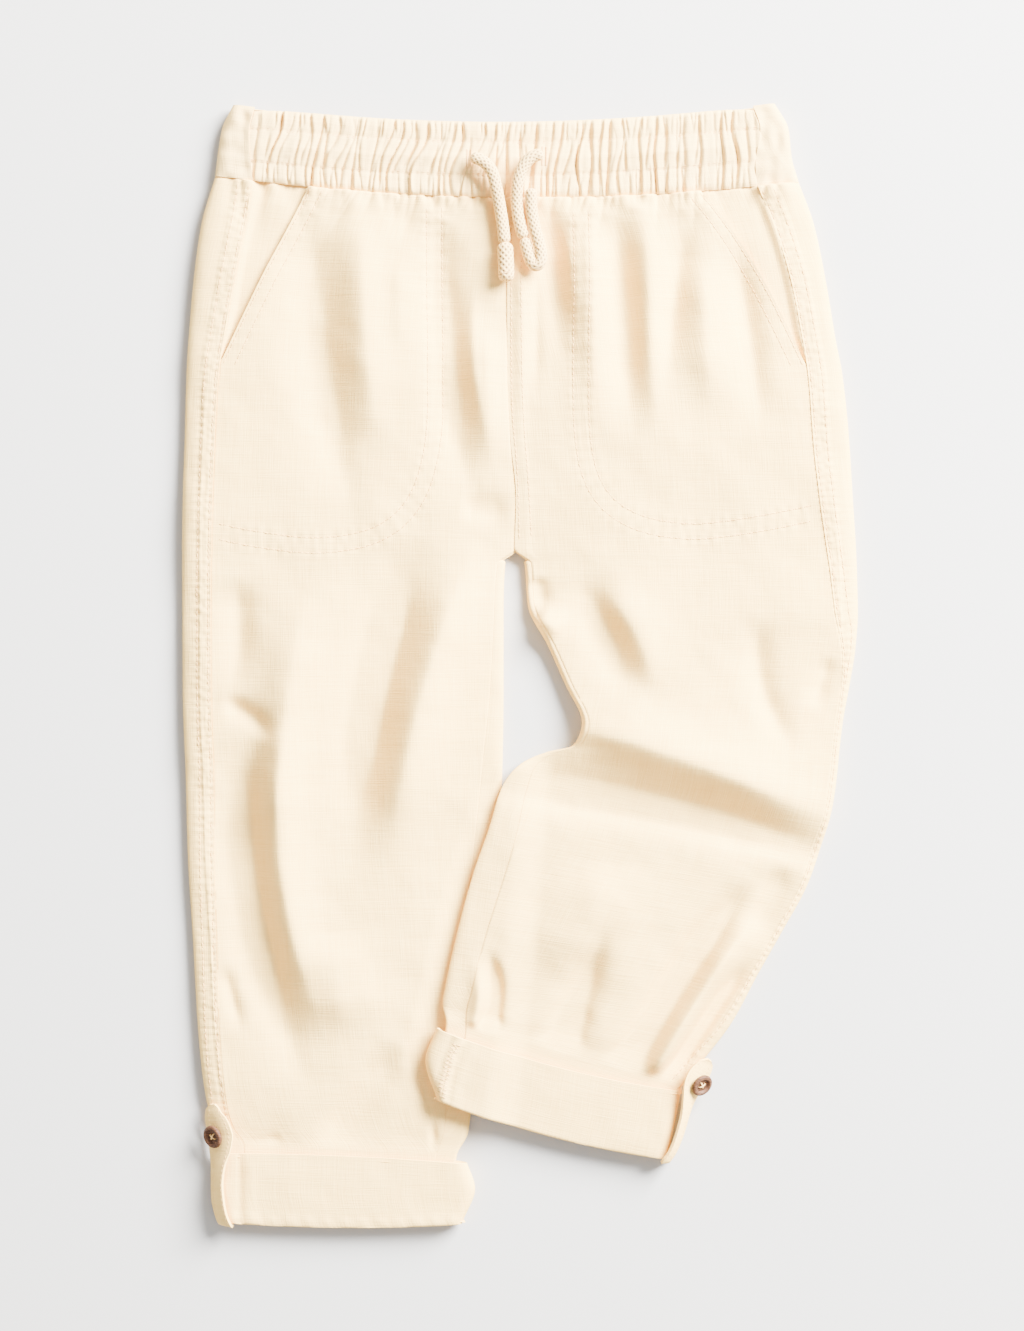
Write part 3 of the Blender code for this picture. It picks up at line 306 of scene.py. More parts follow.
# %% Tables of the legs
Section = namedtuple("Section", "outer_x outer_y inner_x inner_y side_seam inseam "
                                "outer_edge inner_edge crown lift")
RIGHT_LEG = (
    Section(-152.0, 243.2, -6.5, 232.5, 19.0, 0.0, 8.0, 7.0, 0.5, 0.0),
    Section(-159.0, 218.8, -6.5, 212.0, 22.0, 0.0, 7.6, 6.8, 1.5, 0.0),
    Section(-163.2, 187.2, -6.5, 182.0, 20.2, 0.0, 7.4, 6.6, 2.2, 0.0),
    Section(-165.3, 162.2, -6.5, 159.8, 18.0, 0.0, 7.2, 6.5, 2.2, 0.0),
    Section(-166.2, 148.2, -6.5, 146.2, 16.7, 0.0, 7.2, 6.4, 2.2, 0.0),
    Section(-167.2, 113.8, -5.0, 113.8, 15.3, 0.0, 7.2, 6.0, 2.0, 0.0),
    Section(-168.2, 82.2, -2.0, 82.2, 15.2, 0.0, 7.2, 5.4, 2.0, 0.0),
    Section(-168.5, 58.2, -2.8, 57.2, 15.0, 0.0, 7.2, 4.6, 2.0, 0.0),
    Section(-168.5, 49.6, -7.2, 51.2, 14.7, 3.6, 7.2, 4.6, 2.0, 0.0),
    Section(-168.4, 24.8, -8.2, 27.2, 14.5, 4.5, 7.2, 5.6, 2.0, 0.0),
    Section(-168.2, -15.2, -8.2, -12.8, 14.5, 6.5, 7.2, 5.8, 2.0, 0.0),
    Section(-166.8, -53.8, -8.8, -52.8, 14.2, 10.0, 7.2, 5.2, 2.0, 0.0),
    Section(-165.8, -92.8, -11.5, -92.8, 13.3, 11.5, 7.2, 4.4, 2.0, 0.0),
    Section(-163.0, -139.2, -15.0, -137.8, 11.8, 12.0, 7.2, 4.4, 2.0, 0.0),
    Section(-160.5, -182.8, -19.5, -182.8, 10.8, 12.0, 7.2, 4.4, 2.0, 0.0),
    Section(-156.6, -216.0, -24.0, -218.4, 10.0, 12.2, 7.4, 4.6, 1.8, 0.0),
    Section(-152.6, -229.0, -26.0, -234.0, 9.0, 12.0, 6.6, 4.8, 1.2, 0.0),
    Section(-145.4, -240.0, -31.6, -245.0, 8.0, 10.0, 3.0, 3.0, 0.0, 2.7),
    Section(-144.8, -273.8, -34.5, -275.0, 8.0, 10.0, 3.0, 3.0, 0.0, 2.7),
)
LEFT_LEG = (
    Section(139.0, 240.2, -6.5, 232.5, 21.0, 0.0, 8.0, 7.0, 0.5, 0.0),
    Section(146.5, 219.5, -6.5, 212.0, 20.0, 0.0, 7.6, 6.8, 1.5, 0.0),
    Section(153.2, 187.2, -6.5, 182.0, 17.5, 0.0, 7.4, 6.6, 2.2, 0.0),
    Section(157.5, 161.5, -6.5, 159.8, 17.0, 0.0, 7.2, 6.5, 2.2, 0.0),
    Section(160.5, 146.2, -6.5, 146.2, 17.5, 0.0, 7.2, 6.4, 2.2, 0.0),
    Section(164.0, 113.8, -5.0, 113.8, 18.5, 0.0, 7.2, 6.0, 2.0, 0.0),
    Section(166.0, 82.2, -2.0, 82.2, 17.0, 0.0, 7.2, 5.4, 2.0, 0.0),
    Section(167.6, 57.2, -2.8, 57.2, 15.0, 0.0, 7.2, 4.6, 2.0, 0.0),
    Section(168.0, 47.2, 2.0, 51.2, 14.0, 3.2, 7.2, 4.6, 2.0, 0.0),
    Section(168.5, 26.2, 4.0, 29.2, 12.0, 3.2, 7.2, 5.6, 2.0, 0.0),
    Section(167.2, 7.2, 14.0, 9.2, 7.0, 3.2, 6.6, 5.6, 2.0, 0.0),
    Section(164.5, -9.8, 22.5, -9.8, 4.4, 3.2, 5.6, 5.6, 2.4, 0.0),
    Section(161.2, -27.8, 30.8, -28.8, 3.6, 3.2, 5.6, 5.6, 2.4, 0.0),
    Section(159.4, -42.0, 26.0, -40.4, 3.6, 3.2, 5.6, 5.2, 2.4, 0.0),
    Section(158.0, -56.0, 13.5, -43.6, 3.6, 4.6, 5.6, 5.0, 2.4, 0.0),
    Section(155.6, -71.5, 0.5, -49.4, 3.6, 7.5, 5.8, 4.8, 2.4, 0.0),
    Section(150.8, -89.0, -8.5, -60.0, 3.6, 12.0, 6.0, 4.8, 2.4, 0.0),
    Section(143.0, -110.8, -15.6, -81.8, 3.6, 14.0, 6.0, 4.8, 2.4, 0.0),
    Section(131.0, -132.8, -23.0, -103.0, 3.6, 15.0, 6.0, 4.8, 2.4, 0.0),
    Section(118.5, -154.8, -31.0, -132.0, 4.0, 14.0, 6.0, 4.8, 2.2, 0.0),
    Section(105.5, -178.8, -37.2, -160.0, 5.5, 13.0, 6.4, 4.8, 1.8, 0.0),
    Section(93.4, -195.0, -38.6, -169.0, 7.2, 12.0, 6.4, 4.8, 1.2, 0.0),
    Section(81.0, -210.0, -36.8, -178.0, 8.0, 10.0, 3.0, 3.0, 0.0, 2.7),
    Section(70.4, -224.0, -38.6, -195.0, 8.0, 10.0, 3.0, 3.0, 0.0, 2.7),
    Section(67.0, -240.6, -34.6, -213.0, 8.0, 10.0, 3.0, 3.0, 0.0, 2.7),
)
CROTCH_ROW = 7
CROSSING_ROWS = slice(15, 22)
CuffSection = namedtuple("CuffSection", "outer_x outer_y inner_x inner_y height sag")
RIGHT_CUFF = (
    CuffSection(-150.8, -243.2, -26.4, -248.4, 8.8, -1.4),
    CuffSection(-151.0, -259.0, -22.4, -261.5, 9.0, 0.4),
    CuffSection(-148.0, -277.0, -28.8, -278.0, 8.8, 2.0),
)
LEFT_CUFF = (
    CuffSection(80.3, -212.3, -41.4, -180.6, 8.8, 4.0),
    CuffSection(77.1, -228.7, -47.0, -197.0, 9.0, 3.6),
    CuffSection(73.5, -245.7, -41.4, -215.6, 8.8, 3.8),
)
print("rows of the legs:", len(RIGHT_LEG), len(LEFT_LEG))

# %% [markdown]
# ## Folds placed one by one
# Soft linen that has been worn and smoothed by hand keeps broad, low folds. Each
# fold of the photograph is a row: where it starts, passes and ends, how far it
# spreads to each side, and its height, which is negative for a trough. A narrow
# spread on one side makes the crisp ridge that linen has. Smaller ones follow
# in a table of their own.

# %% Tables of folds
Fold = namedtuple("Fold", "start_x start_y pass_x pass_y end_x end_y "
                          "left_width right_width height")
RIGHT_FOLDS = (
    Fold(-48.0, 62.0, -70.0, 0.0, -84.0, -100.0, 12.0, 16.0, -6.4),
    Fold(-20.0, 62.0, -47.0, -10.0, -68.0, -112.0, 15.0, 12.0, 6.8),
    Fold(-106.0, 36.0, -118.0, -35.0, -121.0, -92.0, 12.0, 12.0, 4.4),
    Fold(-142.0, 44.0, -140.0, 12.0, -144.0, -15.0, 8.0, 8.0, -3.0),
    Fold(-149.0, -19.0, -135.0, -25.0, -122.0, -38.0, 5.0, 5.0, -2.8),
    Fold(-126.0, -30.0, -137.0, -103.0, -104.0, -215.0, 9.0, 11.0, -6.0),
    Fold(-112.0, -26.0, -119.0, -96.0, -97.0, -184.0, 11.0, 9.0, 5.4),
    Fold(-95.0, -133.0, -90.0, -158.0, -84.0, -188.0, 18.0, 16.0, 3.5),
    Fold(-61.5, -188.0, -82.0, -220.0, -106.0, -242.0, 10.0, 9.0, -3.5),
    Fold(-147.5, -150.0, -143.0, -168.0, -138.0, -184.0, 4.0, 4.0, -1.8),
    Fold(-104.0, 228.0, -98.0, 145.0, -80.0, 60.0, 11.0, 14.0, -4.6),
    Fold(-79.0, 225.0, -77.0, 167.0, -71.0, 104.0, 11.0, 10.0, 3.5),
    Fold(-41.0, 232.0, -36.0, 150.0, -24.0, 72.0, 9.0, 10.0, -4.4),
    Fold(-17.5, 174.0, -16.5, 132.0, -14.0, 92.0, 8.0, 8.0, 3.0),
    Fold(-30.0, 80.0, -16.0, 77.0, -4.0, 74.0, 8.0, 7.0, -2.5),
)
LEFT_FOLDS = (
    Fold(15.0, 229.0, 17.0, 190.0, 20.0, 150.0, 8.0, 8.0, -3.5),
    Fold(33.0, 232.0, 36.0, 175.0, 38.0, 112.0, 10.0, 9.0, 3.3),
    Fold(46.0, 232.0, 52.0, 175.0, 56.0, 108.0, 9.0, 9.0, -4.2),
    Fold(61.0, 232.0, 64.0, 175.0, 67.0, 108.0, 9.0, 8.0, 3.3),
    Fold(83.0, 226.0, 76.0, 175.0, 72.0, 128.0, 7.0, 8.0, -3.2),
    Fold(90.0, 202.0, 92.0, 160.0, 94.0, 122.0, 10.0, 9.0, 2.8),
    Fold(106.0, 214.0, 114.0, 165.0, 121.0, 112.0, 7.0, 9.0, -3.4),
    Fold(9.0, 44.0, 10.0, 36.0, 11.5, 27.0, 4.0, 5.0, -2.2),
    Fold(8.0, 24.0, 14.0, 20.0, 21.0, 14.0, 7.0, 6.0, 3.0),
    Fold(26.0, 44.0, 45.0, 12.0, 54.0, -18.0, 9.0, 11.0, -3.8),
    Fold(40.0, 40.0, 59.0, 12.0, 68.0, -18.0, 12.0, 9.0, 3.2),
    Fold(120.0, 24.0, 121.0, -12.0, 140.0, -48.0, 7.0, 7.0, -2.8),
    Fold(155.0, 4.0, 150.0, -10.0, 145.0, -23.0, 5.0, 5.0, -1.8),
    Fold(0.0, -28.0, 76.0, -45.0, 172.0, -86.0, 18.0, 12.0, 7.4),
    Fold(-20.0, -60.0, 84.0, -76.0, 180.0, -106.0, 12.0, 8.0, -6.0),
    Fold(40.0, -98.0, 35.0, -133.0, 25.0, -163.0, 22.0, 20.0, 3.2),
    Fold(132.0, -99.0, 124.0, -118.0, 112.0, -139.0, 8.0, 8.0, -3.0),
    Fold(116.0, -108.0, 80.0, -158.0, 36.0, -234.0, 5.5, 9.0, -7.0),
    Fold(-12.0, -172.0, -16.0, -181.0, -20.0, -189.0, 5.0, 5.0, -1.5),
    Fold(30.0, -169.0, 25.0, -183.0, 20.0, -197.0, 6.0, 6.0, -2.2),
)
RIGHT_SMALL = (
    Fold(-43.0, -205.0, -43.6, -226.0, -42.4, -247.0, 2.2, 1.6, -2.2),
    Fold(-22.0, 190.0, -23.0, 150.0, -16.0, 110.0, 3.0, 5.0, 1.2),
    Fold(-59.0, 205.0, -60.0, 180.0, -58.0, 150.0, 6.0, 5.0, 1.0),
    Fold(-118.0, -236.0, -130.0, -239.0, -141.0, -241.0, 3.0, 2.4, -1.4),
)
LEFT_SMALL = (
    Fold(1.0, 215.0, 1.2, 170.0, 1.0, 110.0, 2.6, 4.0, 1.0),
    Fold(8.0, 200.0, 8.4, 170.0, 8.0, 130.0, 3.0, 2.6, -1.0),
    Fold(22.0, 222.0, 26.0, 190.0, 27.0, 165.0, 5.0, 4.0, 1.2),
    Fold(120.0, -122.0, 88.0, -166.0, 48.0, -236.0, 5.0, 5.0, 4.6),
    Fold(116.0, -146.0, 90.0, -182.0, 58.0, -236.0, 3.4, 4.5, -5.0),
    Fold(-17.0, -142.0, -12.5, -171.0, -28.0, -214.0, 3.0, 4.5, -5.0),
    Fold(-24.0, -146.0, -21.0, -171.0, -36.0, -212.0, 3.5, 4.0, 2.4),
    Fold(44.0, -124.0, 29.0, -168.0, 4.0, -232.0, 7.0, 8.0, -5.0),
)
print("folds:", len(RIGHT_FOLDS) + len(LEFT_FOLDS) + len(RIGHT_SMALL) + len(LEFT_SMALL))

# %% [markdown]
# ## From tables to a surface
# Blender's grid gives the points, and the functions below say how high each one
# lies. Distances to a line on the table serve twice: for folds and for rows of
# stitching. A little random unevenness keeps wide areas from looking ironed.
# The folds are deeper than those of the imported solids, because thin cloth can
# crease where a rigid wall can't.

# %% Curves and lines


def smooth(amount):
    """0 below 0, 1 above 1 and an even S between."""
    amount = np.clip(amount, 0.0, 1.0)
    return amount * amount * (3.0 - 2.0 * amount)


def bell(off, spread):
    """1 in the middle, and down to 0 on both sides."""
    return np.exp(-(off / spread) ** 2)


def through(knots, values, at):
    """A smooth curve through the values that never swings past them."""
    knots = np.asarray(knots, float)
    values = np.asarray(values, float)
    step = np.diff(knots)
    slope = np.diff(values) / step
    tangent = np.zeros(len(knots))
    tangent[0] = slope[0]
    tangent[-1] = slope[-1]
    for k in range(1, len(knots) - 1):
        if slope[k - 1] * slope[k] > 0.0:
            before = 2.0 * step[k] + step[k - 1]
            after = step[k] + 2.0 * step[k - 1]
            tangent[k] = (before + after) / (before / slope[k - 1] + after / slope[k])
    at = np.asarray(at, float)
    k = np.clip(np.searchsorted(knots, at, side="right") - 1, 0, len(step) - 1)
    t = (at - knots[k]) / step[k]
    return (values[k] * (1.0 + 2.0 * t) * (1.0 - t) ** 2
            + step[k] * tangent[k] * t * (1.0 - t) ** 2
            + values[k + 1] * t * t * (3.0 - 2.0 * t)
            + step[k] * tangent[k + 1] * t * t * (t - 1.0))


def near_line(x, y, line):
    """Distance of points from a line, their place along it, and which side they are."""
    nearest = np.full(np.shape(x), 1e9)
    along = np.zeros(np.shape(x))
    left = np.zeros(np.shape(x), bool)
    line = np.asarray(line, float)[:, :2]
    lengths = run_along(line)
    for k in range(len(line) - 1):
        run = line[k + 1] - line[k]
        t = ((x - line[k][0]) * run[0] + (y - line[k][1]) * run[1]) / run.dot(run)
        t = np.clip(t, 0.0, 1.0)
        dx = x - line[k][0] - t * run[0]
        dy = y - line[k][1] - t * run[1]
        distance = np.hypot(dx, dy)
        closer = distance < nearest
        nearest = np.where(closer, distance, nearest)
        along = np.where(closer, lengths[k] + t * (lengths[k + 1] - lengths[k]), along)
        left = np.where(closer, run[0] * dy - run[1] * dx > 0.0, left)
    return nearest, along, left, lengths[-1]


def fold_height(fold, x, y):
    """Height that one fold adds at each x, y."""
    start = np.array([fold.start_x, fold.start_y])
    middle = np.array([fold.pass_x, fold.pass_y])
    end = np.array([fold.end_x, fold.end_y])
    bend = 2.0 * middle - (start + end) / 2.0
    steps = np.linspace(0.0, 1.0, 13)[:, None]
    line = (1 - steps) ** 2 * start + 2 * steps * (1 - steps) * bend + steps ** 2 * end
    nearest, along, left, length = near_line(x, y, line)
    share = along / length
    width = np.where(left, fold.left_width, fold.right_width)
    # A fold rises over about its first third and fades over nearly its last half.
    fade = smooth(share / 0.34 + 0.12) * smooth((1.0 - share) / 0.45 + 0.06)
    return fold.height * fade * np.exp(-(nearest / width) ** 1.7)


def rumple(x, y, size, seed):
    """Soft random unevenness between -1 and 1, with humps of about one size."""
    wide, deep = 61, 67
    table = np.random.RandomState(seed).uniform(-1.0, 1.0, (wide, deep))
    gx = np.asarray(x) / size + 31.3
    gy = np.asarray(y) / size + 29.7
    i = np.floor(gx).astype(int)
    j = np.floor(gy).astype(int)
    u = smooth(gx - i)
    v = smooth(gy - j)
    i, i_next, j, j_next = i % wide, (i + 1) % wide, j % deep, (j + 1) % deep
    near = table[i, j] * (1 - u) + table[i_next, j] * u
    far = table[i, j_next] * (1 - u) + table[i_next, j_next] * u
    return near * (1 - v) + far * v


print("rumple at the origin:", round(float(rumple(0.0, 0.0, 30.0, 1)), 3))

# %% How one leg lies on the other
WALL = 1.0
GAP = 0.3               # between two panels that meet at a seam
HALF_GAP = GAP / 2
LEAST_LEG = 2.9         # two layers of cloth pressed flat
SETTLE = 0.5            # softness with which a trough comes to rest
FOLD_DEPTH = 1.5        # the folds of thin cloth beside those of a solid
FELL_RISE = 0.5         # of a flat-felled seam over the cloth beside it
EDGE_ROUND = 9.0
BAND_SAG = 9.25         # how far the waist hangs down in the middle
POCKET_MOUTH = 28.0
POCKET_DEPTH = 90.0
CUFF_LIFT = 2.7         # of a leg's end above the table, inside its rolled hem
CROSS_HEIGHT = 4.4      # of the straight leg where the bent one lies on it
CROSS_START = 25.0
CROSS_RUN = 19.0
CROSS_TOP = (-38.0, -55.0)
PRESS_ENDS = (-48.0, -236.0)
PRESS_FADE = 12.0
# Unevenness of the cloth: height, size of a hump and seed.
UNEVEN = ((1.1, 52.0, 2), (0.75, 24.0, 3), (0.3, 10.0, 5), (0.07, 4.2, 8))


def straight_leg_edge(y):
    """x of the straight leg's inner outline at a height up the picture."""
    column_y = [s.inner_y for s in RIGHT_LEG[::-1]]
    column_x = [s.inner_x for s in RIGHT_LEG[::-1]]
    return np.interp(y, column_y, column_x)


def crossing(x, y):
    """How high the bent leg's underside lies, where it rides over the straight one."""
    beyond = straight_leg_edge(y) + CROSS_START - x
    begin, whole = CROSS_TOP
    return (CROSS_HEIGHT + GAP) * smooth(beyond / CROSS_RUN) * smooth((begin - y) / (begin - whole))


def pressing(x, y):
    """1 where the bent leg lies on the straight one, 0 well clear of it."""
    rows = LEFT_CUFF + LEFT_LEG[CROSSING_ROWS]
    rows = sorted((row.inner_y, row.inner_x) for row in rows)
    outline = np.interp(y, [row[0] for row in rows], [row[1] for row in rows])
    start, stop = PRESS_ENDS
    lengthwise = smooth((start - y) / PRESS_FADE) * smooth((y - stop) / PRESS_FADE)
    return smooth((x - outline + 14.0) / 10.0) * lengthwise


print("the bent leg's edge is lifted", round(float(crossing(-30.0, -150.0)), 1), "mm")

# %% A leg and its two layers


class Leg:
    """One leg: its outline, its seams and the heights of its two layers of cloth."""

    def __init__(self, sections, folds, side):
        self.sections = sections
        self.folds = folds
        self.side = side
        self.rows = []
        self.knots = run_along([((s.outer_x + s.inner_x) / 2, (s.outer_y + s.inner_y) / 2)
                                for s in sections])
        self.crotch = self.knots[CROTCH_ROW]
        self.crotch_end = self.knots[CROTCH_ROW + 1]
        self.end = self.knots[-1]

    def at(self, down):
        """The sections at distances down the leg, as a column."""
        down = np.atleast_1d(np.asarray(down, float))[:, None]
        values = {}
        for name in Section._fields:
            column = [getattr(s, name) for s in self.sections]
            values[name] = through(self.knots, column, down)
        section = SimpleNamespace(**values)
        section.down = down
        section.width = np.hypot(section.inner_x - section.outer_x,
                                 section.inner_y - section.outer_y)
        span = (down - self.crotch) / (self.crotch_end - self.crotch)
        section.closed = np.clip(span, 0.0, 1.0)
        mouth = POCKET_MOUTH * np.clip(1.0 - down / POCKET_DEPTH, 0.0, 1.0)
        section.front_edge = section.side_seam + mouth
        return section

    def place(self, section, inward):
        """x and y of points some way in from the outer outline."""
        share = inward / section.width
        sag = BAND_SAG * share * (1.0 - share) * smooth(1.0 - section.down / 45.0)
        x = section.outer_x + (section.inner_x - section.outer_x) * share
        y = section.outer_y + (section.inner_y - section.outer_y) * share - sag
        return x, y

    def floor(self, section, x, y):
        """Height of the leg's underside: nought, but over a cuff or the other leg."""
        return section.lift + crossing(x, y) * (self.side == "left")

    def top(self, section, inward):
        """Height of the upper layer's outer face, with its folds."""
        x, y = self.place(section, inward)
        share = np.clip(inward / section.width, 0.0, 1.0)
        rim = section.outer_edge + (section.inner_edge - section.outer_edge) * share
        crown = section.crown * (1.0 - np.abs(2.0 * share - 1.0) ** 3)
        folds = FOLD_DEPTH * sum(fold_height(fold, x, y) for fold in self.folds)
        in_hem = section.lift / CUFF_LIFT
        folds = folds * (1.0 - in_hem ** 4)
        spare = rim + crown + folds - LEAST_LEG
        height = LEAST_LEG + SETTLE * np.logaddexp(0.0, spare / SETTLE)
        if self.side == "right":
            pressed = pressing(x, y) * (1.0 - in_hem)
            height = height + (CROSS_HEIGHT - height) * pressed
        else:
            beside = section.width - inward
            above = 1.0 - section.closed
            height = height + FELL_RISE * above * (1.0 - smooth((beside - 6.0) / 3.0))
        return self.floor(section, x, y) + height

    def fine(self, section, inward):
        """The fine relief of the upper layer: gathers, puckers and unevenness."""
        x, y = self.place(section, inward)
        free = 1.0 - 0.7 * section.lift / CUFF_LIFT
        relief = sum(height * rumple(x, y, size, seed) for height, size, seed in UNEVEN)
        felled = smooth((section.side_seam - inward - 0.6) / 0.5)
        felled = felled * smooth((inward - section.side_seam + 8.0) / 0.8)
        relief = relief + 0.26 * felled * rumple(x, y, 1.9, 9)
        relief = relief * free * smooth(section.down / 10.0)
        for row in self.rows:
            nearest, along, _, length = near_line(x, y, row.line)
            ends = smooth(along / 4.0) * smooth((length - along) / 4.0)
            wave = np.sin(along * math.tau / row.pitch + 2.5 * rumple(along, 0.0, 9.0, 4))
            ripple = row.pucker * (0.5 + 0.5 * wave) * bell(nearest, row.reach)
            relief = relief + ends * (ripple - row.dip * bell(nearest, 0.8))
        return relief + below_band(x, section.down)


def edge_reach(seam, edge):
    """How far in an edge's rounding reaches, so that its wall fits inside."""
    return np.minimum(np.minimum(EDGE_ROUND, seam - 1.0), edge * edge / 6.0)


right_leg = Leg(RIGHT_LEG, RIGHT_FOLDS + RIGHT_SMALL, "right")
left_leg = Leg(LEFT_LEG, LEFT_FOLDS + LEFT_SMALL, "left")
print("leg lengths:", round(right_leg.end), round(left_leg.end), "mm")

# %% [markdown]
# ## Gathers
# Elastic pulls the waistband in, and the cloth has to go somewhere: it stands up
# in small pleats. Between the rows of stitching they are wide and lean, at the
# edges they are short and close together. Each pleat is a sharp valley with a
# soft roll beside it, and a random number decides its place, depth and lean.
# The same valleys run on for some millimetres into the legs below.

# %% Valleys of the waistband
Valley = namedtuple("Valley", "x lean wave top bottom depth width")
ROW_HIGH = 0.27         # the two rows of stitching, as shares of the band's depth
ROW_LOW = 0.73
BAND_LEFT = -133.0
BAND_RIGHT = 118.0


def band_lean(x):
    """How far a pleat leans over the band's depth: to the left, less so at the right."""
    return np.interp(x, (-135.0, -60.0, 10.0, 60.0, 110.0), (-5.0, -6.5, -4.0, -1.0, 1.6))


def make_valleys(seed, count, top, bottom, depth, width, low, high):
    """Evenly scattered valleys with uneven ends, leans, depths and widths."""
    dice = random.Random(seed)
    made = []
    pitch = (high - low) / count
    for k in range(count):
        x = low + (k + dice.uniform(0.1, 0.9)) * pitch
        begin = top + dice.uniform(-0.06, 0.1)
        finish = bottom + dice.uniform(-0.12, 0.05)
        made.append(Valley(x, band_lean(x) * dice.uniform(0.2, 1.7), dice.uniform(-1.1, 1.1),
                           begin, finish, depth * dice.uniform(0.45, 1.25),
                           width * dice.uniform(0.7, 1.4)))
    return made


def crease(off, width, beside, spread, rise):
    """A sharp valley with a soft roll beside it, for a depth of 1."""
    return np.exp(-np.abs(off) / width) - rise * bell(off - beside * width, spread * width)


FRONT_VALLEYS = (make_valleys(1, 40, -0.15, 1.15, 1.5, 0.8, BAND_LEFT, BAND_RIGHT)
                 + make_valleys(2, 30, 0.15, 0.85, 1.2, 0.8, BAND_LEFT, BAND_RIGHT)
                 + make_valleys(3, 62, -0.25, 0.36, 1.0, 0.5, BAND_LEFT, BAND_RIGHT)
                 + make_valleys(4, 60, 0.62, 1.25, 1.0, 0.5, BAND_LEFT, BAND_RIGHT))


def gathers(x, depth, valleys):
    """Height of the pleats at x, at shares of the band's depth."""
    swing = smooth((depth - 0.12) / 0.7)
    total = np.zeros(np.broadcast(x, depth).shape)
    for valley in valleys:
        line = valley.x + valley.lean * (swing - 0.5) + valley.wave * np.sin(depth * 7.0 + valley.x)
        live = smooth((depth - valley.top) / 0.2) * smooth((valley.bottom - depth) / 0.2)
        total = total - valley.depth * live * crease(x - line, valley.width, 2.1, 1.7, 0.4)
    return total


# %% Valleys that run on below the waistband
BELOW_COUNT = 74
BELOW_LEFT = -140.0
BELOW_WIDTH = 268.0
LONG_SHARE = 0.25       # one crease in four runs on far down the leg
LONG_RUN = 20.0
dice = random.Random(7)
BELOW = []
for k in range(BELOW_COUNT):
    x = BELOW_LEFT + (k + dice.uniform(0.1, 0.9)) * BELOW_WIDTH / BELOW_COUNT
    lean = band_lean(x) * dice.uniform(-0.03, 0.12)
    length = dice.uniform(7.0, 16.0) + LONG_RUN * (dice.random() < LONG_SHARE)
    BELOW.append((x, lean, length, dice.uniform(1.2, 3.6), dice.uniform(1.2, 2.4)))


def below_band(x, down):
    """Short creases that fade out below the waistband's seam."""
    puff = 0.35 + rumple(x, 0.35 * down, 7.5, 19)
    total = 2.4 * puff * np.exp(-down / 10.0) - 0.5 * np.exp(-down / 2.0)
    for place, lean, length, depth, width in BELOW:
        fade = np.clip(1.0 - down / length, 0.0, 1.0) ** 1.2
        if fade.max() > 0.0:
            spread = width * (1.0 + 0.12 * down)
            off = x - place - lean * down
            total = total - depth * fade * crease(off, spread, 2.2, 1.8, 0.5)
    return total


print("valleys:", len(FRONT_VALLEYS), "and", len(BELOW), "below")

# %% [markdown]
# ## Rows of stitching
# A seam pulls its cloth in a little. That makes a fine groove along the thread
# and small ripples beside it. The rows are lines seen from above, so that one
# list serves the cloth's relief now and the thread itself later: the flat-felled
# side seams, the slant pockets, the pocket bags behind them and the fly seam.

# %% The rows on each leg
Row = namedtuple("Row", "name line pitch pucker reach dip")


def along_leg(leg, first, last, inward, count=40):
    """A line down a leg at a distance in from its outer outline."""
    section = leg.at(np.linspace(first, last, count))
    x, y = leg.place(section, inward(section))
    return np.stack([x[:, 0], y[:, 0]], axis=-1)


def soft_line(points, count=40):
    """A smooth line seen from above, through a few points."""
    return route_points([(x, y, 0.0) for x, y in points], count)[:, :2]


def right_of(line):
    """The way to the right of a line, at each of its points."""
    ahead = np.gradient(line, axis=0)
    ahead /= np.linalg.norm(ahead, axis=1)[:, None]
    return np.stack([ahead[:, 1], -ahead[:, 0]], axis=-1)


LEFT_FELL_END = 250.0   # below this the bent leg's seam lies on its very edge
for leg in (right_leg, left_leg):
    last = leg.knots[-3]
    outer_last = last if leg is right_leg else LEFT_FELL_END
    inner_fell = along_leg(leg, 2.0, last, lambda s: s.side_seam - 1.3)
    outer_fell = along_leg(leg, 2.0, outer_last, lambda s: np.maximum(s.side_seam - 6.9, 2.6))
    leg.rows.append(Row("fell", inner_fell, 3.7, 0.5, 1.9, 0.3))
    leg.rows.append(Row("fell", outer_fell, 4.1, 0.5, 2.0, 0.3))
    for inward in (1.6, 7.6):
        edge_row = along_leg(leg, 1.0, POCKET_DEPTH, lambda s: s.front_edge + inward)
        leg.rows.append(Row("pocket edge", edge_row, 6.0, 0.3, 2.4, 0.22))
BAG_RIGHT = ((-46.5, 228.0), (-46.5, 190.0), (-46.0, 150.0), (-47.0, 112.0), (-55.0, 84.0),
             (-72.0, 68.5), (-100.0, 63.0), (-130.0, 66.0), (-150.0, 70.0))
BAG_LEFT = ((34.0, 226.0), (34.5, 190.0), (34.0, 150.0), (35.0, 112.0), (42.0, 88.0),
            (58.0, 75.0), (84.0, 70.0), (114.0, 73.0), (145.0, 79.0))
for leg, bag, inner_x in ((right_leg, BAG_RIGHT, 7.6), (left_leg, BAG_LEFT, -7.6)):
    outer_bag = soft_line(bag)
    for line in (outer_bag, outer_bag - right_of(outer_bag) * inner_x):
        leg.rows.append(Row("pocket bag", line, 6.4, 0.5, 2.6, 0.4))
FLY = soft_line(((0.6, 226.0), (0.6, 180.0), (1.4, 130.0), (4.0, 92.0), (5.6, 64.0)))
left_leg.rows.append(Row("fly", FLY, 6.0, 0.26, 2.6, 0.2))
CENTRE = soft_line(((-4.4, 228.0), (-4.4, 180.0), (-4.0, 130.0), (-1.4, 96.0), (-0.4, 62.0)))
left_leg.rows.append(Row("centre", CENTRE, 5.0, 0.2, 2.0, 0.18))
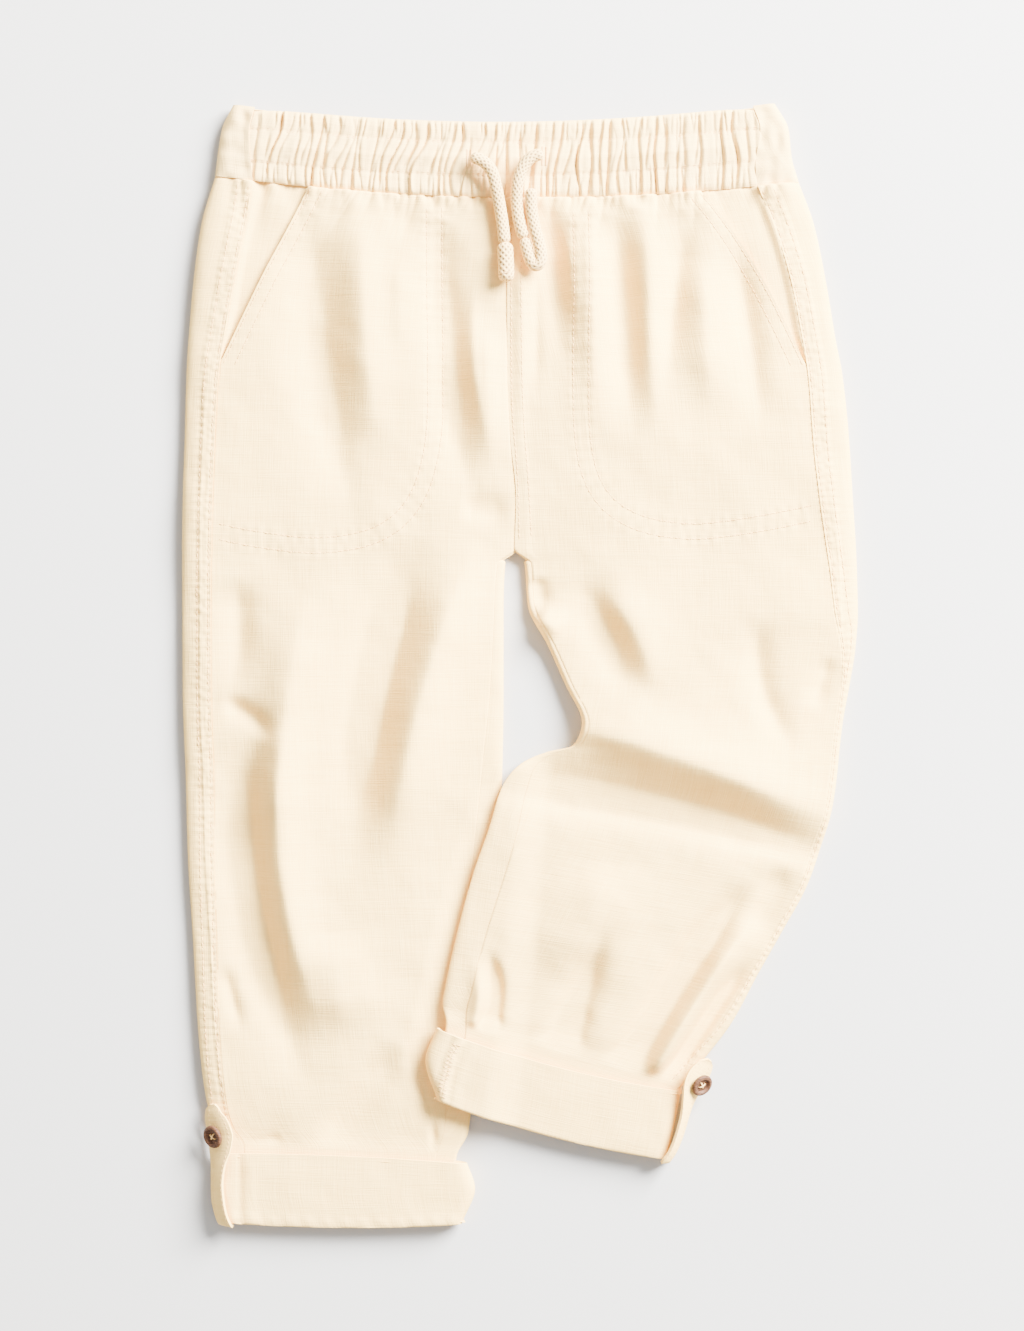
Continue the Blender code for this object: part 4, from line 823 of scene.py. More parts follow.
print("rows:", [row.name for row in left_leg.rows])

# %% [markdown]
# ## Cloth
# A panel starts as Blender's grid. Its points are set from the functions above,
# close together where the cloth has fine creases and wider elsewhere, and
# Solidify gives it the thickness of linen. A UV map in metres of cloth lets the
# weave follow the panel when the leg bends.

# %% Turning points into a cloth shell


def apply_modifiers(made):
    choose(made)
    for modifier in list(made.modifiers):
        bpy.ops.object.modifier_apply(modifier=modifier.name)


def cloth(name, points, uv, wall, around=False, outward=False, lies_under=False):
    """A thin closed shell through a grid of points, rows by columns."""
    facing = np.cross(np.gradient(points, axis=1), np.gradient(points, axis=0))
    faces_up = facing[..., 2].sum() > 0.0
    rows, columns = points.shape[:2]
    made = new_grid(name, rows - 1, columns - 1)
    if not around and faces_up == lies_under:
        points = points[:, ::-1]
        uv = uv[:, ::-1]
    shape_grid(made, points, uv)
    if around:
        close_tube(made)
    thicken = made.modifiers.new("Wall", "SOLIDIFY")
    thicken.thickness = wall * MM
    thicken.offset = 1.0 if outward else -1.0
    apply_modifiers(made)
    made.data.set_sharp_from_angle(angle=math.radians(65))
    deselect()
    return made


def leg_rows(leg, step):
    """Distances down a leg, closest together at the waistband."""
    gathered, in_hem = 16.0, leg.end - 33.0
    return np.concatenate([np.arange(-1.0, gathered, 0.7), np.arange(gathered, in_hem, step),
                           np.linspace(in_hem, leg.end, 7)])


print("rows down the straight leg's front:", len(leg_rows(right_leg, 1.5)))

# %% [markdown]
# ## The panels of a leg
# A front panel lies on top. A back panel shows a strip beside the side seam,
# turns round the leg's edge and runs on under the leg. Where two panels meet,
# the lower one runs on a little under the other, as a seam allowance does, so
# that no slit shows between them.

# %% The front panel
TUCK = 1.8              # how far an edge runs on below the lap that covers it
BAND_MIDDLE = 4.0       # height at which a leg's edge is sewn into the waistband
INSEAM_LEAST = 3.0      # how far in from the leg's inner edge the panels meet
LAP_FADE = 6.0


def tuck_into_band(z, down):
    """Brings a leg's first rows in between the front and back of the waistband."""
    return z + (BAND_MIDDLE - z) * 0.75 * smooth((0.6 - down) / 1.6)


def front_points(leg, columns=126):
    """The front panel. Its edges run on below the laps of the seams."""
    section = leg.at(leg_rows(leg, 1.5))
    inner = section.width - HALF_GAP - np.maximum(section.inseam, INSEAM_LEAST) * section.closed
    outer = section.front_edge + 0.1
    inward = outer + (inner - outer) * np.linspace(0.0, 1.0, columns)[None, :]
    sewn_side = smooth((section.down - POCKET_DEPTH + 4.0) / 4.0)
    sewn_inside = np.ones_like(sewn_side) if leg.side == "right" else section.closed
    outside = outer - TUCK * sewn_side * np.array([[1.0, 0.55, 0.2]])
    inside = inner + TUCK * sewn_inside * np.array([[0.2, 0.55, 1.0]])
    inward = np.concatenate([outside, inward, inside], axis=1)
    outer_round = edge_reach(section.side_seam, section.outer_edge)
    lap = np.minimum(1.0, (section.side_seam - outer_round) / LAP_FADE)
    under_side = (WALL + 0.15 - FELL_RISE * lap) * sewn_side * np.array([[1.0, 0.9, 0.6]])
    lap_inside = WALL + 0.15 - FELL_RISE * (1.0 - section.closed)
    under_inside = lap_inside * sewn_inside * np.array([[0.6, 0.9, 1.0]])
    flat = np.zeros((len(section.down), columns))
    drop = np.concatenate([under_side, flat, under_inside], axis=1)
    x, y = leg.place(section, inward)
    z = leg.top(section, inward) + leg.fine(section, inward) - drop
    z = tuck_into_band(z, section.down)
    return np.stack([x, y, z], axis=-1), cloth_places(inward, section.down)


print("the side lap runs on", TUCK, "mm below the seam")

# %% The back panel
# Steps of the turn from the top of an edge to its underside, and of the underside
# itself, as distances from the leg's inner edge.
CURL = np.radians([90, 78, 66, 54, 40, 25, 10, -5, -20, -40, -60, -90])
UNDER = np.array([100.0, 80.0, 62.0, 44.0, 30.0, 20.0, 13.0])


def curl_points(leg, section, reach, inner):
    """The rounded edge of a leg, from its top round to its underside."""
    turn = CURL[None, :]
    inward = reach * (1.0 - np.cos(turn))
    middle_in = reach
    if inner:
        inward = section.width - inward
        middle_in = section.width - reach
    x, y = leg.place(section, inward)
    base = leg.floor(section, x, y)
    middle = base + (leg.top(section, middle_in) - base) / 2
    upper = leg.top(section, inward) + leg.fine(section, inward)
    target = np.where(turn > 0.0, upper, base)
    z = middle + (target - middle) * np.abs(np.sin(turn))
    return np.stack([x, y, z], axis=-1)


def back_points(leg):
    """The back panel: strip beside the side seam, outer edge, underside, inner edge."""
    section = leg.at(leg_rows(leg, 0.9))
    outer_round = edge_reach(section.side_seam, section.outer_edge)
    share = np.linspace(0.0, 1.0, 13)[None, :-1]
    inward = section.side_seam + (outer_round - section.side_seam) * share
    x, y = leg.place(section, inward)
    lip = np.minimum(1.0, (section.side_seam - outer_round) / LAP_FADE)
    free = 1.0 - section.lift / CUFF_LIFT
    doubled = smooth((inward - section.side_seam + 9.0) / 1.6)
    z = leg.top(section, inward) + leg.fine(section, inward) + FELL_RISE * lip * free * doubled
    strip = np.stack([x, y, z], axis=-1)
    outer = curl_points(leg, section, outer_round, False)
    seam = np.maximum(section.inseam, INSEAM_LEAST)
    inner_round = edge_reach(seam, section.inner_edge)
    inward = section.width - UNDER[None, :]
    x, y = leg.place(section, inward)
    under = np.stack([x, y, leg.floor(section, x, y)], axis=-1)
    inner = curl_points(leg, section, inner_round, True)[:, ::-1]
    share = np.linspace(0.0, 1.0, 8)[None, 1:]
    inward = section.width - inner_round - (seam - inner_round) * share
    x, y = leg.place(section, inward)
    lip = np.stack([x, y, leg.top(section, inward) + leg.fine(section, inward)], axis=-1)
    rolled = np.concatenate([inner, lip], axis=1)
    count = rolled.shape[1]
    steps = (count - 1 - np.arange(count)) * (UNDER[-1] / count)
    x, y = leg.place(section, section.width - HALF_GAP - steps[None, :])
    flat = np.stack([x, y, leg.floor(section, x, y)], axis=-1)
    rolled = flat + (rolled - flat) * section.closed[..., None]
    points = np.concatenate([strip, outer, under, rolled], axis=1)
    points[..., 2] = tuck_into_band(points[..., 2], section.down)
    return points, cloth_places(run_across(points), section.down)


print("points round a leg's edge:", len(CURL))

# %% The pocket facing
FACING_SHORT = 3.5      # how far above the pocket's lower end the facing ends


def facing_points(leg):
    """The hip piece in the slant pocket, from under the side seam to under the front."""
    section = leg.at(np.linspace(-1.0, POCKET_DEPTH - FACING_SHORT, 60))
    mouth = section.front_edge - section.side_seam
    reach = 2 * GAP + (mouth + 4.0 - 2 * GAP) * np.linspace(0.0, 1.0, 24)[None, :]
    reach = np.concatenate([np.tile([[-1.5, -0.8, -0.1]], (len(reach), 1)), reach], axis=1)
    inward = section.side_seam + reach
    drop = 2.1 * smooth(reach / np.minimum(4.5, mouth * 0.85))
    drop = drop + 0.6 * smooth((0.4 - reach) / 1.6)
    x, y = leg.place(section, inward)
    z = leg.top(section, inward) - drop + 0.6 * below_band(x, section.down)
    z = tuck_into_band(z, section.down)
    return np.stack([x, y, z], axis=-1), cloth_places(inward, section.down)


print("the facing is", POCKET_DEPTH - FACING_SHORT, "mm deep")

# %% The panels of both legs
FACING_WALL = 0.8
panels = {}
for leg in (right_leg, left_leg):
    side = leg.side
    points, uv = front_points(leg)
    front = cloth("linen_front_" + side, points, uv, WALL)
    points, uv = back_points(leg)
    back = cloth("linen_back_" + side, points, uv, WALL, lies_under=True)
    points, uv = facing_points(leg)
    facing = cloth("linen_facing_" + side, points, uv, FACING_WALL)
    for piece, node in ((front, "front_"), (back, "back_"), (facing, "pocket_facing_")):
        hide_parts(node + side)
    panels[side] = (front, back, facing)
    print(side, "faces:", len(front.data.polygons), len(back.data.polygons))

# %% [markdown]
# ## The waistband
# The casing is a tunnel of cloth over elastic. Seen flat it has a front and a
# back, and the back turns round both ends to the side seams. The front carries
# all the pleats, so its grid is very fine across and coarser down.

# %% Where the waistband lies
BandEnd = namedtuple("BandEnd", "depth left_x left_y right_x right_y")
BAND_ENDS = (
    BandEnd(0.00, -143.0, 278.8, 127.0, 279.5),
    BandEnd(0.33, -148.5, 267.2, 133.8, 267.0),
    BandEnd(0.75, -151.0, 251.8, 135.6, 252.0),
    BandEnd(1.00, -152.0, 243.2, 139.0, 240.2),
)
BAND_SPLIT = 3.85       # height between the front and the back of the casing
BAND_END = 8.0          # height of the casing at its two ends
BAND_STEP = 2.5
BAND_WIDTH = 291.0
BAND_DEPTH = 42.0
BAND_REACH = 6.0        # how far in from an end the back casing curls
BAND_WALL = 0.9
FRONT_SEAM_TOP = 11.0
BAND_CLOTH_WIDTH = 430.0
BAND_CLOTH_PLACE = 700.0     # each piece takes its weave from its own place


def band_place(share, depth):
    """x and y in the waistband: share runs across it and depth down from the top."""
    knots = [row.depth for row in BAND_ENDS]
    left_x, left_y, right_x, right_y = (
        through(knots, [getattr(row, name) for row in BAND_ENDS], depth)
        for name in BandEnd._fields[1:])
    sag = BAND_SAG * 4.0 * share * (1.0 - share)
    return left_x + (right_x - left_x) * share, left_y + (right_y - left_y) * share - sag


def band_seams(depth):
    """Shares of the waistband's width at which its two side seams lie."""
    left_x, _ = band_place(0.0, depth)
    right_x, _ = band_place(1.0, depth)
    first = FRONT_SEAM_TOP + (RIGHT_LEG[0].side_seam - FRONT_SEAM_TOP) * depth
    last = FRONT_SEAM_TOP + (LEFT_LEG[0].side_seam - FRONT_SEAM_TOP) * depth
    return first / (right_x - left_x), 1.0 - last / (right_x - left_x)


print("side seams at the waist's top:", [round(float(s), 3) for s in band_seams(0.0)])

# %% The front of the casing
depth = np.concatenate([[0.0, 0.0, 0.0], np.linspace(0.0, 1.0, 52)])[:, None]
rolled_in = np.zeros_like(depth)
rolled_in[:3, 0] = (3.0, 2.2, 1.0)      # the top edge turns down to the back casing
first, last = band_seams(depth)
run = np.concatenate([[-0.006, -0.003], np.linspace(0.0, 1.0, 620), [1.003, 1.006]])[None, :]
share = first + (last - first) * run
x, y = band_place(share, depth)
at_end = np.clip(np.abs(2.0 * run - 1.0), 0.0, 1.0) ** 12
y = y - BAND_STEP * at_end * (1.0 - depth)
body = np.interp(depth, (0.0, 0.03, 0.12, 0.25, 0.29, 0.5, 0.71, 0.75, 0.93, 0.98, 1.0),
                 (6.8, 8.0, 8.5, 8.1, 8.2, 9.3, 8.2, 8.0, 8.4, 7.6, 6.6))
z = body + (BAND_END - body) * at_end * 0.6
plain = 1.0 - 0.2 * smooth(1.0 - (x - BAND_LEFT) / 14.0)
plain = plain - 0.3 * smooth(1.0 - (BAND_RIGHT - x) / 5.0)
edge = 0.45 + 0.55 * smooth(depth / 0.05) * smooth((1.0 - depth) / 0.03)
z = z + gathers(x, depth, FRONT_VALLEYS) * plain * edge
for row_depth in (ROW_HIGH, ROW_LOW):
    z = z - 0.28 * bell((depth - row_depth) * BAND_DEPTH, 0.9)
z = z + 0.10 * rumple(x, y, 2.6, 12) + 0.22 * rumple(x, y, 9.0, 13)
beyond = smooth((np.abs(2.0 * run - 1.0) - 1.0) / 0.009)
z = z - rolled_in - 1.2 * beyond
z = np.maximum(z, BAND_SPLIT + HALF_GAP + 0.4)
y = y + np.where(rolled_in > 0.0, 0.45 - (rolled_in - 1.6) ** 2 * 0.12, 0.0)
uv = cloth_places(share * BAND_CLOTH_WIDTH, depth * BAND_DEPTH + BAND_CLOTH_PLACE)
points = np.stack(np.broadcast_arrays(x, y, z), axis=-1)
band_front = cloth("linen_waistband_front", points, uv, BAND_WALL)
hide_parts("waistband_front")
print("waistband front faces:", len(band_front.data.polygons))

# %% The back of the casing
BACK_VALLEYS = make_valleys(21, 62, -0.1, 1.1, 0.9, 1.1, -140.0, 128.0)


def band_section(depth):
    """Points across the back casing, each a share of its width and a height."""
    first, last = band_seams(depth)
    reach = BAND_REACH / BAND_WIDTH
    rise = 1.2 * math.exp(-depth * BAND_DEPTH / 1.6)
    rise = rise + 0.6 * math.exp(-(1.0 - depth) * BAND_DEPTH / 1.6)
    lip = BAND_END - rise * 0.8
    ends = []
    for seam in (float(first), float(1.0 - last)):
        strip = [(seam + (reach - seam) * k / 12.0, lip) for k in range(12)]
        curl = [(reach * (1.0 - math.cos(t)), (lip + rise) / 2 + (lip - rise) / 2 * math.sin(t))
                for t in CURL[:-1]]
        ends.append(strip + curl)
    middle = [(s, rise) for s in np.linspace(reach, 1.0 - reach, 260)]
    return ends[0] + middle + [(1.0 - s, height) for s, height in ends[1][::-1]]


rows = []
depths = np.concatenate([np.linspace(0.0, 0.08, 4), np.linspace(0.11, 0.93, 26),
                         np.linspace(0.96, 1.0, 3)])
for at_depth in depths:
    share, z = np.array(band_section(at_depth)).T
    x, y = band_place(share, at_depth)
    under = smooth((share * BAND_WIDTH - 7.0) / 3.0)
    under = under * smooth(((1.0 - share) * BAND_WIDTH - 7.0) / 3.0) * (z < 3.0)
    groove = np.maximum(-gathers(x, at_depth * np.ones_like(x), BACK_VALLEYS), 0.0)
    wrinkle = 0.5 * rumple(x, y, 5.0, 17) + 0.5 * rumple(x * 2.0, y * 0.6, 7.0, 18)
    wrinkle = wrinkle * (z > 5.0) * smooth(at_depth / 0.1) * 1.5
    rows.append(np.stack([x, y, z + np.minimum(groove, 1.2) * under + wrinkle], axis=-1))
points = np.array(rows)
uv = cloth_places(run_across(points), depths[:, None] * BAND_DEPTH + BAND_CLOTH_PLACE)
band_back = cloth("linen_waistband_back", points, uv, BAND_WALL, lies_under=True)
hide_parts("waistband_back")
print("waistband back faces:", len(band_back.data.polygons))

# %% [markdown]
# ## Rolled hems
# Each hem is rolled up once, so it is a double tube round the leg with a fold at
# the bottom. The grid goes all the way round and is sewn shut. On the bent leg
# the roll shows the inside of the inseam: a strip of seam allowance with an
# overlocked edge, and the puckers that the overlocking made.

# %% Tubes of linen round the legs
CUFF_ROUND = 6.0
CUFF_WALL = 1.5
CUFF_STEP = 18.0        # depth of the hem from one row of its table to the next
CUFF_CLOTH_PLACE = 900.0


def cuff_ring(cuff, at):
    """The rolled hem's table at a place between its rows."""
    values = {name: through(np.arange(3.0), [getattr(row, name) for row in cuff], at)
              for name in CuffSection._fields}
    return SimpleNamespace(**{name: float(value) for name, value in values.items()})


def cuff_points(cuff, leg, relief):
    """Rings of a rolled hem, from inside its upper edge to inside its fold."""
    rings = []
    flat_count = 86
    turn = np.radians(np.linspace(-90.0, 90.0, 11))
    at_rows = np.concatenate([[0.0, 0.0], np.linspace(0.0, 2.0, 30), [2.0, 2.0, 2.0]])
    inset = np.concatenate([[1.1, 0.5], np.zeros(30), [0.35, 1.1, 2.2]])
    pull = np.concatenate([[-0.1, 0.25], np.zeros(30), [0.5, 0.4, -0.6]])
    for at, inside, beyond in zip(at_rows, inset, pull):
        ring = cuff_ring(cuff, at)
        width = math.hypot(ring.inner_x - ring.outer_x, ring.inner_y - ring.outer_y)
        curl_in = CUFF_ROUND * (1.0 - np.cos(turn))
        curl_up = 0.5 + 0.5 * np.sin(turn)
        flat = np.linspace(CUFF_ROUND, width - CUFF_ROUND, flat_count)[1:-1]
        inward = np.concatenate([curl_in, flat, width - curl_in[::-1], flat[::-1], curl_in[:1]])
        level = np.concatenate([curl_up, np.ones(len(flat)), curl_up[::-1],
                                np.zeros(len(flat)), curl_up[:1]])
        share = inward / width
        x = ring.outer_x + (ring.inner_x - ring.outer_x) * share
        y = ring.outer_y + (ring.inner_y - ring.outer_y) * share
        y = y - ring.sag * 4.0 * share * (1.0 - share) - beyond
        base = crossing(x, y) if leg.side == "left" else 0.0
        height = ring.height - 2.0 * inside
        z = base + inside + level * height
        z = z + relief(x, y, at) * smooth(level * 2.0 - 0.6) * (inside < 0.2)
        rings.append(np.stack([x, y, z], axis=-1))
    points = np.array(rings)
    down = (at_rows * CUFF_STEP)[:, None]
    return points, cloth_places(run_across(points) + CUFF_CLOTH_PLACE, down)


OVERLOCK_EDGE = ((-33.2, -186.2), (-36.6, -192.8), (-38.8, -201.0), (-40.6, -208.0),
                 (-41.5, -214.4))


def right_relief(x, y, at):
    """A crease beside the tab, and the small ripples along the fold."""
    relief = 0.5 * rumple(x, y, 21.0, 31) + 0.2 * rumple(x, y, 8.0, 32)
    relief = relief - 0.7 * bell(x + 139.4, 1.6)
    relief = relief + 0.5 * bell(x + 134.0, 3.0) * smooth(at / 0.5)
    return relief + 0.25 * bell(at - 1.86, 0.1) * (1 + np.sin(x * 0.7))


def left_relief(x, y, at):
    """The raised seam allowance left of the overlocked edge, and its puckers."""
    relief = 0.5 * rumple(x, y, 20.0, 33) + 0.2 * rumple(x, y, 8.0, 34)
    nearest, along, left, _ = near_line(x, y, OVERLOCK_EDGE)
    pucker = np.sin(along * math.tau / 2.3 + 1.5 * rumple(x, y, 5.0, 35))
    relief = relief + 0.3 * pucker * bell(nearest - 4.0, 3.6) * left
    relief = relief + 0.9 * left * smooth(nearest / 0.5) * smooth((5.4 - nearest) / 0.8)
    return relief + 0.4 * bell(nearest - 9.5, 2.2) * left


cuffs = {}
for leg, cuff, relief in ((right_leg, RIGHT_CUFF, right_relief),
                          (left_leg, LEFT_CUFF, left_relief)):
    points, uv = cuff_points(cuff, leg, relief)
    piece = cloth("linen_cuff_" + leg.side, points, uv, CUFF_WALL, around=True)
    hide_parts("cuff_" + leg.side)
    cuffs[leg.side] = piece
    print("cuff", leg.side, "faces:", len(piece.data.polygons))

# %% [markdown]
# ## Roll tabs
# A strap is sewn inside each leg. It comes out under the fold of the rolled hem,
# goes up over it, and its round end is buttoned to the leg. It is too stiff to
# lie flat over the leg's edge, so its inner edge stands up and shows the two
# layers of linen it is made of. A table gives both edges of the strap.

# %% The straps
TabRow = namedtuple("TabRow", "outer_x outer_y outer_z inner_x inner_y inner_z")
RIGHT_TAB = (
    TabRow(-153.4, -218.6, 6.8, -151.2, -218.4, 8.2),
    TabRow(-154.8, -220.2, 5.4, -149.8, -219.6, 9.0),
    TabRow(-155.6, -222.8, 4.4, -148.2, -222.2, 10.0),
    TabRow(-155.8, -226.0, 3.6, -145.6, -225.0, 11.0),
    TabRow(-155.4, -230.0, 3.0, -143.2, -230.0, 11.8),
    TabRow(-154.8, -234.0, 2.4, -142.2, -234.0, 12.2),
    TabRow(-154.0, -241.0, 1.8, -143.2, -241.0, 12.4),
    TabRow(-153.2, -249.0, 1.2, -145.9, -249.0, 12.4),
    TabRow(-153.0, -258.0, 1.2, -147.0, -258.0, 12.2),
    TabRow(-152.8, -267.0, 1.2, -146.2, -267.0, 12.0),
    TabRow(-151.4, -273.6, 1.4, -144.8, -273.6, 11.6),
    TabRow(-149.8, -277.6, 2.4, -143.2, -277.8, 10.4),
    TabRow(-149.0, -278.9, 4.0, -142.4, -279.1, 6.8),
)
LEFT_TAB = (
    TabRow(95.0, -197.0, 6.8, 93.2, -195.6, 8.2),
    TabRow(95.2, -199.0, 5.4, 90.0, -196.2, 9.0),
    TabRow(94.4, -202.4, 4.4, 86.8, -198.2, 10.0),
    TabRow(92.8, -206.0, 3.6, 84.0, -201.0, 11.0),
    TabRow(90.8, -209.6, 3.0, 82.0, -204.6, 11.8),
    TabRow(88.6, -213.2, 2.4, 80.8, -209.2, 12.2),
    TabRow(86.0, -218.0, 1.8, 80.2, -215.6, 12.4),
    TabRow(83.4, -224.0, 1.2, 79.4, -222.4, 12.4),
    TabRow(81.4, -230.6, 1.2, 77.8, -229.2, 12.2),
    TabRow(79.2, -237.0, 1.2, 75.8, -235.8, 12.0),
    TabRow(76.6, -242.8, 1.4, 73.2, -241.8, 11.6),
    TabRow(73.8, -246.8, 2.4, 70.2, -246.2, 10.2),
    TabRow(73.2, -247.8, 4.0, 69.8, -247.4, 6.6),
)
TAB_WALL = 1.4
TAB_BULGE = 1.4
TAB_CLOTH_WIDTH = 15.0
TAB_CLOTH_PLACE = 300.0
TAB_STEP = 4.8          # length of the strap from one row of its table to the next


def tab_frame(tab, row, share):
    """Points of a tab's inner face and the way it faces there."""
    knots = np.arange(len(tab), dtype=float)

    def tab_row(at):
        return np.stack([through(knots, column, at) for column in np.array(tab).T], axis=-1)

    outer, inner = tab_row(row)[..., :3], tab_row(row)[..., 3:]
    ahead = tab_row(np.minimum(row + 0.1, knots[-1]))[..., :3]
    behind = tab_row(np.maximum(row - 0.1, 0.0))[..., :3]
    facing = np.cross(inner - outer, ahead - behind)
    facing /= np.linalg.norm(facing, axis=-1)[..., None] * np.sign(facing[..., 2:3])
    bulge = TAB_BULGE * 4.0 * share * (1.0 - share) * smooth(row / 4.0)
    return outer + (inner - outer) * share[..., None] + facing * bulge[..., None], facing


tabs = {}
for side, tab in (("right", RIGHT_TAB), ("left", LEFT_TAB)):
    row = np.concatenate([np.linspace(0.0, 2.0, 12)[:-1], np.linspace(2.0, 12.0, 46)])
    row, share = np.broadcast_arrays(row[:, None], np.linspace(0.0, 1.0, 20)[None, :])
    points, facing = tab_frame(tab, row, share)
    points = points + facing * (0.12 * rumple(row * 4.0, share * 14.0, 5.0, 41))[..., None]
    uv = cloth_places(share * TAB_CLOTH_WIDTH + TAB_CLOTH_PLACE, row * TAB_STEP)
    piece = cloth("linen_tab_" + side, points, uv, TAB_WALL, outward=True)
    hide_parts("tab_" + side)
    tabs[side] = piece
print("tabs:", [tab.name for tab in tabs.values()])

# %% [markdown]
# ## Buttons
# The buttons are turned from coconut shell: a raised rim, a dished face with
# four holes and a rounded back. A lathe makes such a shape, and so does spin: a
# profile is drawn on one side of the axis and turned all the way round. Boolean
# then drills the holes, and a cross of thread holds the button down.

# %% Turn and drill one button
BUTTON_WIDTH = 11.5
BUTTON_THICK = 2.6
HOLE_RING = 1.75
HOLE_RADIUS = 0.72
THREAD_WIDTH = 0.36


def lathe(name, profile, steps):
    """Turns a profile of (radius, height) round the Z axis."""
    deselect()
    bpy.ops.mesh.primitive_circle_add(vertices=3, radius=0.001)
    made = just_made(name)
    bpy.ops.object.mode_set(mode="EDIT")
    bpy.ops.mesh.select_all(action="SELECT")
    bpy.ops.mesh.delete(type="VERT")
    bpy.ops.object.mode_set(mode="OBJECT")
    made.data.vertices.add(len(profile))
    for vertex, (radius, height) in zip(made.data.vertices, profile):
        vertex.co = (radius * MM, 0.0, height * MM)
    made.data.edges.add(len(profile) - 1)
    for k, edge in enumerate(made.data.edges):
        edge.vertices = (k, k + 1)
    bpy.ops.object.mode_set(mode="EDIT")
    bpy.ops.mesh.select_all(action="SELECT")
    bpy.ops.mesh.spin(steps=steps, angle=math.tau, center=(0, 0, 0), axis=(0, 0, 1))
    bpy.ops.mesh.select_all(action="SELECT")
    bpy.ops.mesh.remove_doubles(threshold=0.000005)
    bpy.ops.mesh.normals_make_consistent(inside=False)
    bpy.ops.object.mode_set(mode="OBJECT")
    return made


# The profile from the middle of the face over the rim to the middle of the back,
# as shares of the button's radius and thickness.
PROFILE = ((0.0, 0.52), (0.3, 0.5), (0.55, 0.56), (0.64, 0.8), (0.70, 0.97), (0.78, 1.0),
           (0.9, 0.96), (0.97, 0.8), (1.0, 0.5), (0.95, 0.22), (0.86, 0.08), (0.6, 0.0),
           (0.0, 0.0))


def hole_way(k):
    """The way from the middle of a button to one of its four holes."""
    angle = math.tau * (k + 0.5) / 4
    return Vector((math.cos(angle), math.sin(angle), 0.0))


def drilled_button(name):
    """A turned button with its four holes drilled."""
    made = lathe(name, [(r * BUTTON_WIDTH / 2, h * BUTTON_THICK) for r, h in PROFILE], 64)
    for k in range(4):
        deselect()
        bpy.ops.mesh.primitive_cylinder_add(vertices=20, radius=HOLE_RADIUS * MM, depth=8 * MM,
                                            location=hole_way(k) * HOLE_RING * MM)
        drill = bpy.context.object
        cut = made.modifiers.new("Hole", "BOOLEAN")
        cut.object = drill
        cut.solver = "EXACT"
        apply_modifiers(made)
        bpy.data.objects.remove(drill, do_unlink=True)
    made.data.shade_smooth()
    made.data.set_sharp_from_angle(angle=math.radians(38))
    return made


def button_thread(name):
    """Four strands in a cross over the middle, down into the holes."""
    strands = []
    for k in range(2):
        along = hole_way(k)
        for offset in (-THREAD_WIDTH / 2, THREAD_WIDTH / 2):
            across = Vector((-along.y, along.x, 0.0)) * offset
            route = [along * s + across + Vector((0, 0, h))
                     for s, h in ((-1.95, 0.2), (-1.8, 1.5), (-1.0, 1.95), (0.0, 2.1),
                                  (1.0, 1.95), (1.8, 1.5), (1.95, 0.2))]
            strand, _ = braided_tube(name + str(len(strands)), route, THREAD_WIDTH,
                                     step=0.35, around=8)
            strands.append(strand)
    choose(*strands)
    bpy.ops.object.join()
    return just_made(name)


print("button:", BUTTON_WIDTH, "mm across and", BUTTON_THICK, "mm thick")

# %% Put a button on each strap
buttons = {}
for side, tab, row, share, angle in (("right", RIGHT_TAB, 4.9, 0.42, 14.0),
                                     ("left", LEFT_TAB, 3.8, 0.38, -20.0)):
    spot, facing = tab_frame(tab, np.array([row]), np.array([share]))
    spot = Vector(spot[0] + facing[0] * (TAB_WALL + 0.9)) * MM
    turn = Vector((0, 0, 1)).rotation_difference(Vector(facing[0])).to_matrix().to_4x4()
    twist = Matrix.Rotation(math.radians(angle), 4, "Z")
    button = drilled_button("coconut_button_" + side)
    thread = button_thread("button_thread_" + side)
    for piece in (button, thread):
        piece.data.transform(Matrix.Translation(spot) @ turn @ twist)
        piece.data.update()
    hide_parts("button_" + side)
    buttons[side] = (button, thread)
print("buttons:", [pair[0].name for pair in buttons.values()])

# %% [markdown]
# ## Thread
# Every stitch that shows is a short, soft loop of thread that sinks into the
# cloth at both ends. One stitch is modelled from a sphere and copied along the
# rows. A ray cast straight down finds the cloth under each one, so the thread
# follows every ripple.

# %% One stitch and the cloth below it
deselect()
bpy.ops.mesh.primitive_uv_sphere_add(segments=6, ring_count=4, radius=0.5)
one_stitch = bpy.context.object
stitch_points = np.array([v.co[:] for v in one_stitch.data.vertices])
stitch_faces = [tuple(p.vertices) for p in one_stitch.data.polygons]
bpy.data.objects.remove(one_stitch, do_unlink=True)


def cloth_below(pieces):
    """A search tree over the pieces, for rays cast straight down."""
    trees = []
    for piece in pieces:
        mesh = piece.data
        trees.append(BVHTree.FromPolygons([v.co for v in mesh.vertices],
                                          [tuple(p.vertices) for p in mesh.polygons]))
    return trees


def land(trees, x, y):
    """The highest point of the pieces at a place, and its normal."""
    best = None
    for tree in trees:
        spot, normal, _, _ = tree.ray_cast(Vector((x * MM, y * MM, 0.1)), Vector((0, 0, -1)))
        if spot is not None and (best is None or spot.z > best[0].z):
            best = (spot, normal)
    return best


print("points of one stitch:", len(stitch_points))

# %% Stitches along a line
STEEPEST_STITCH = 1.6    # no stitch climbs more than this


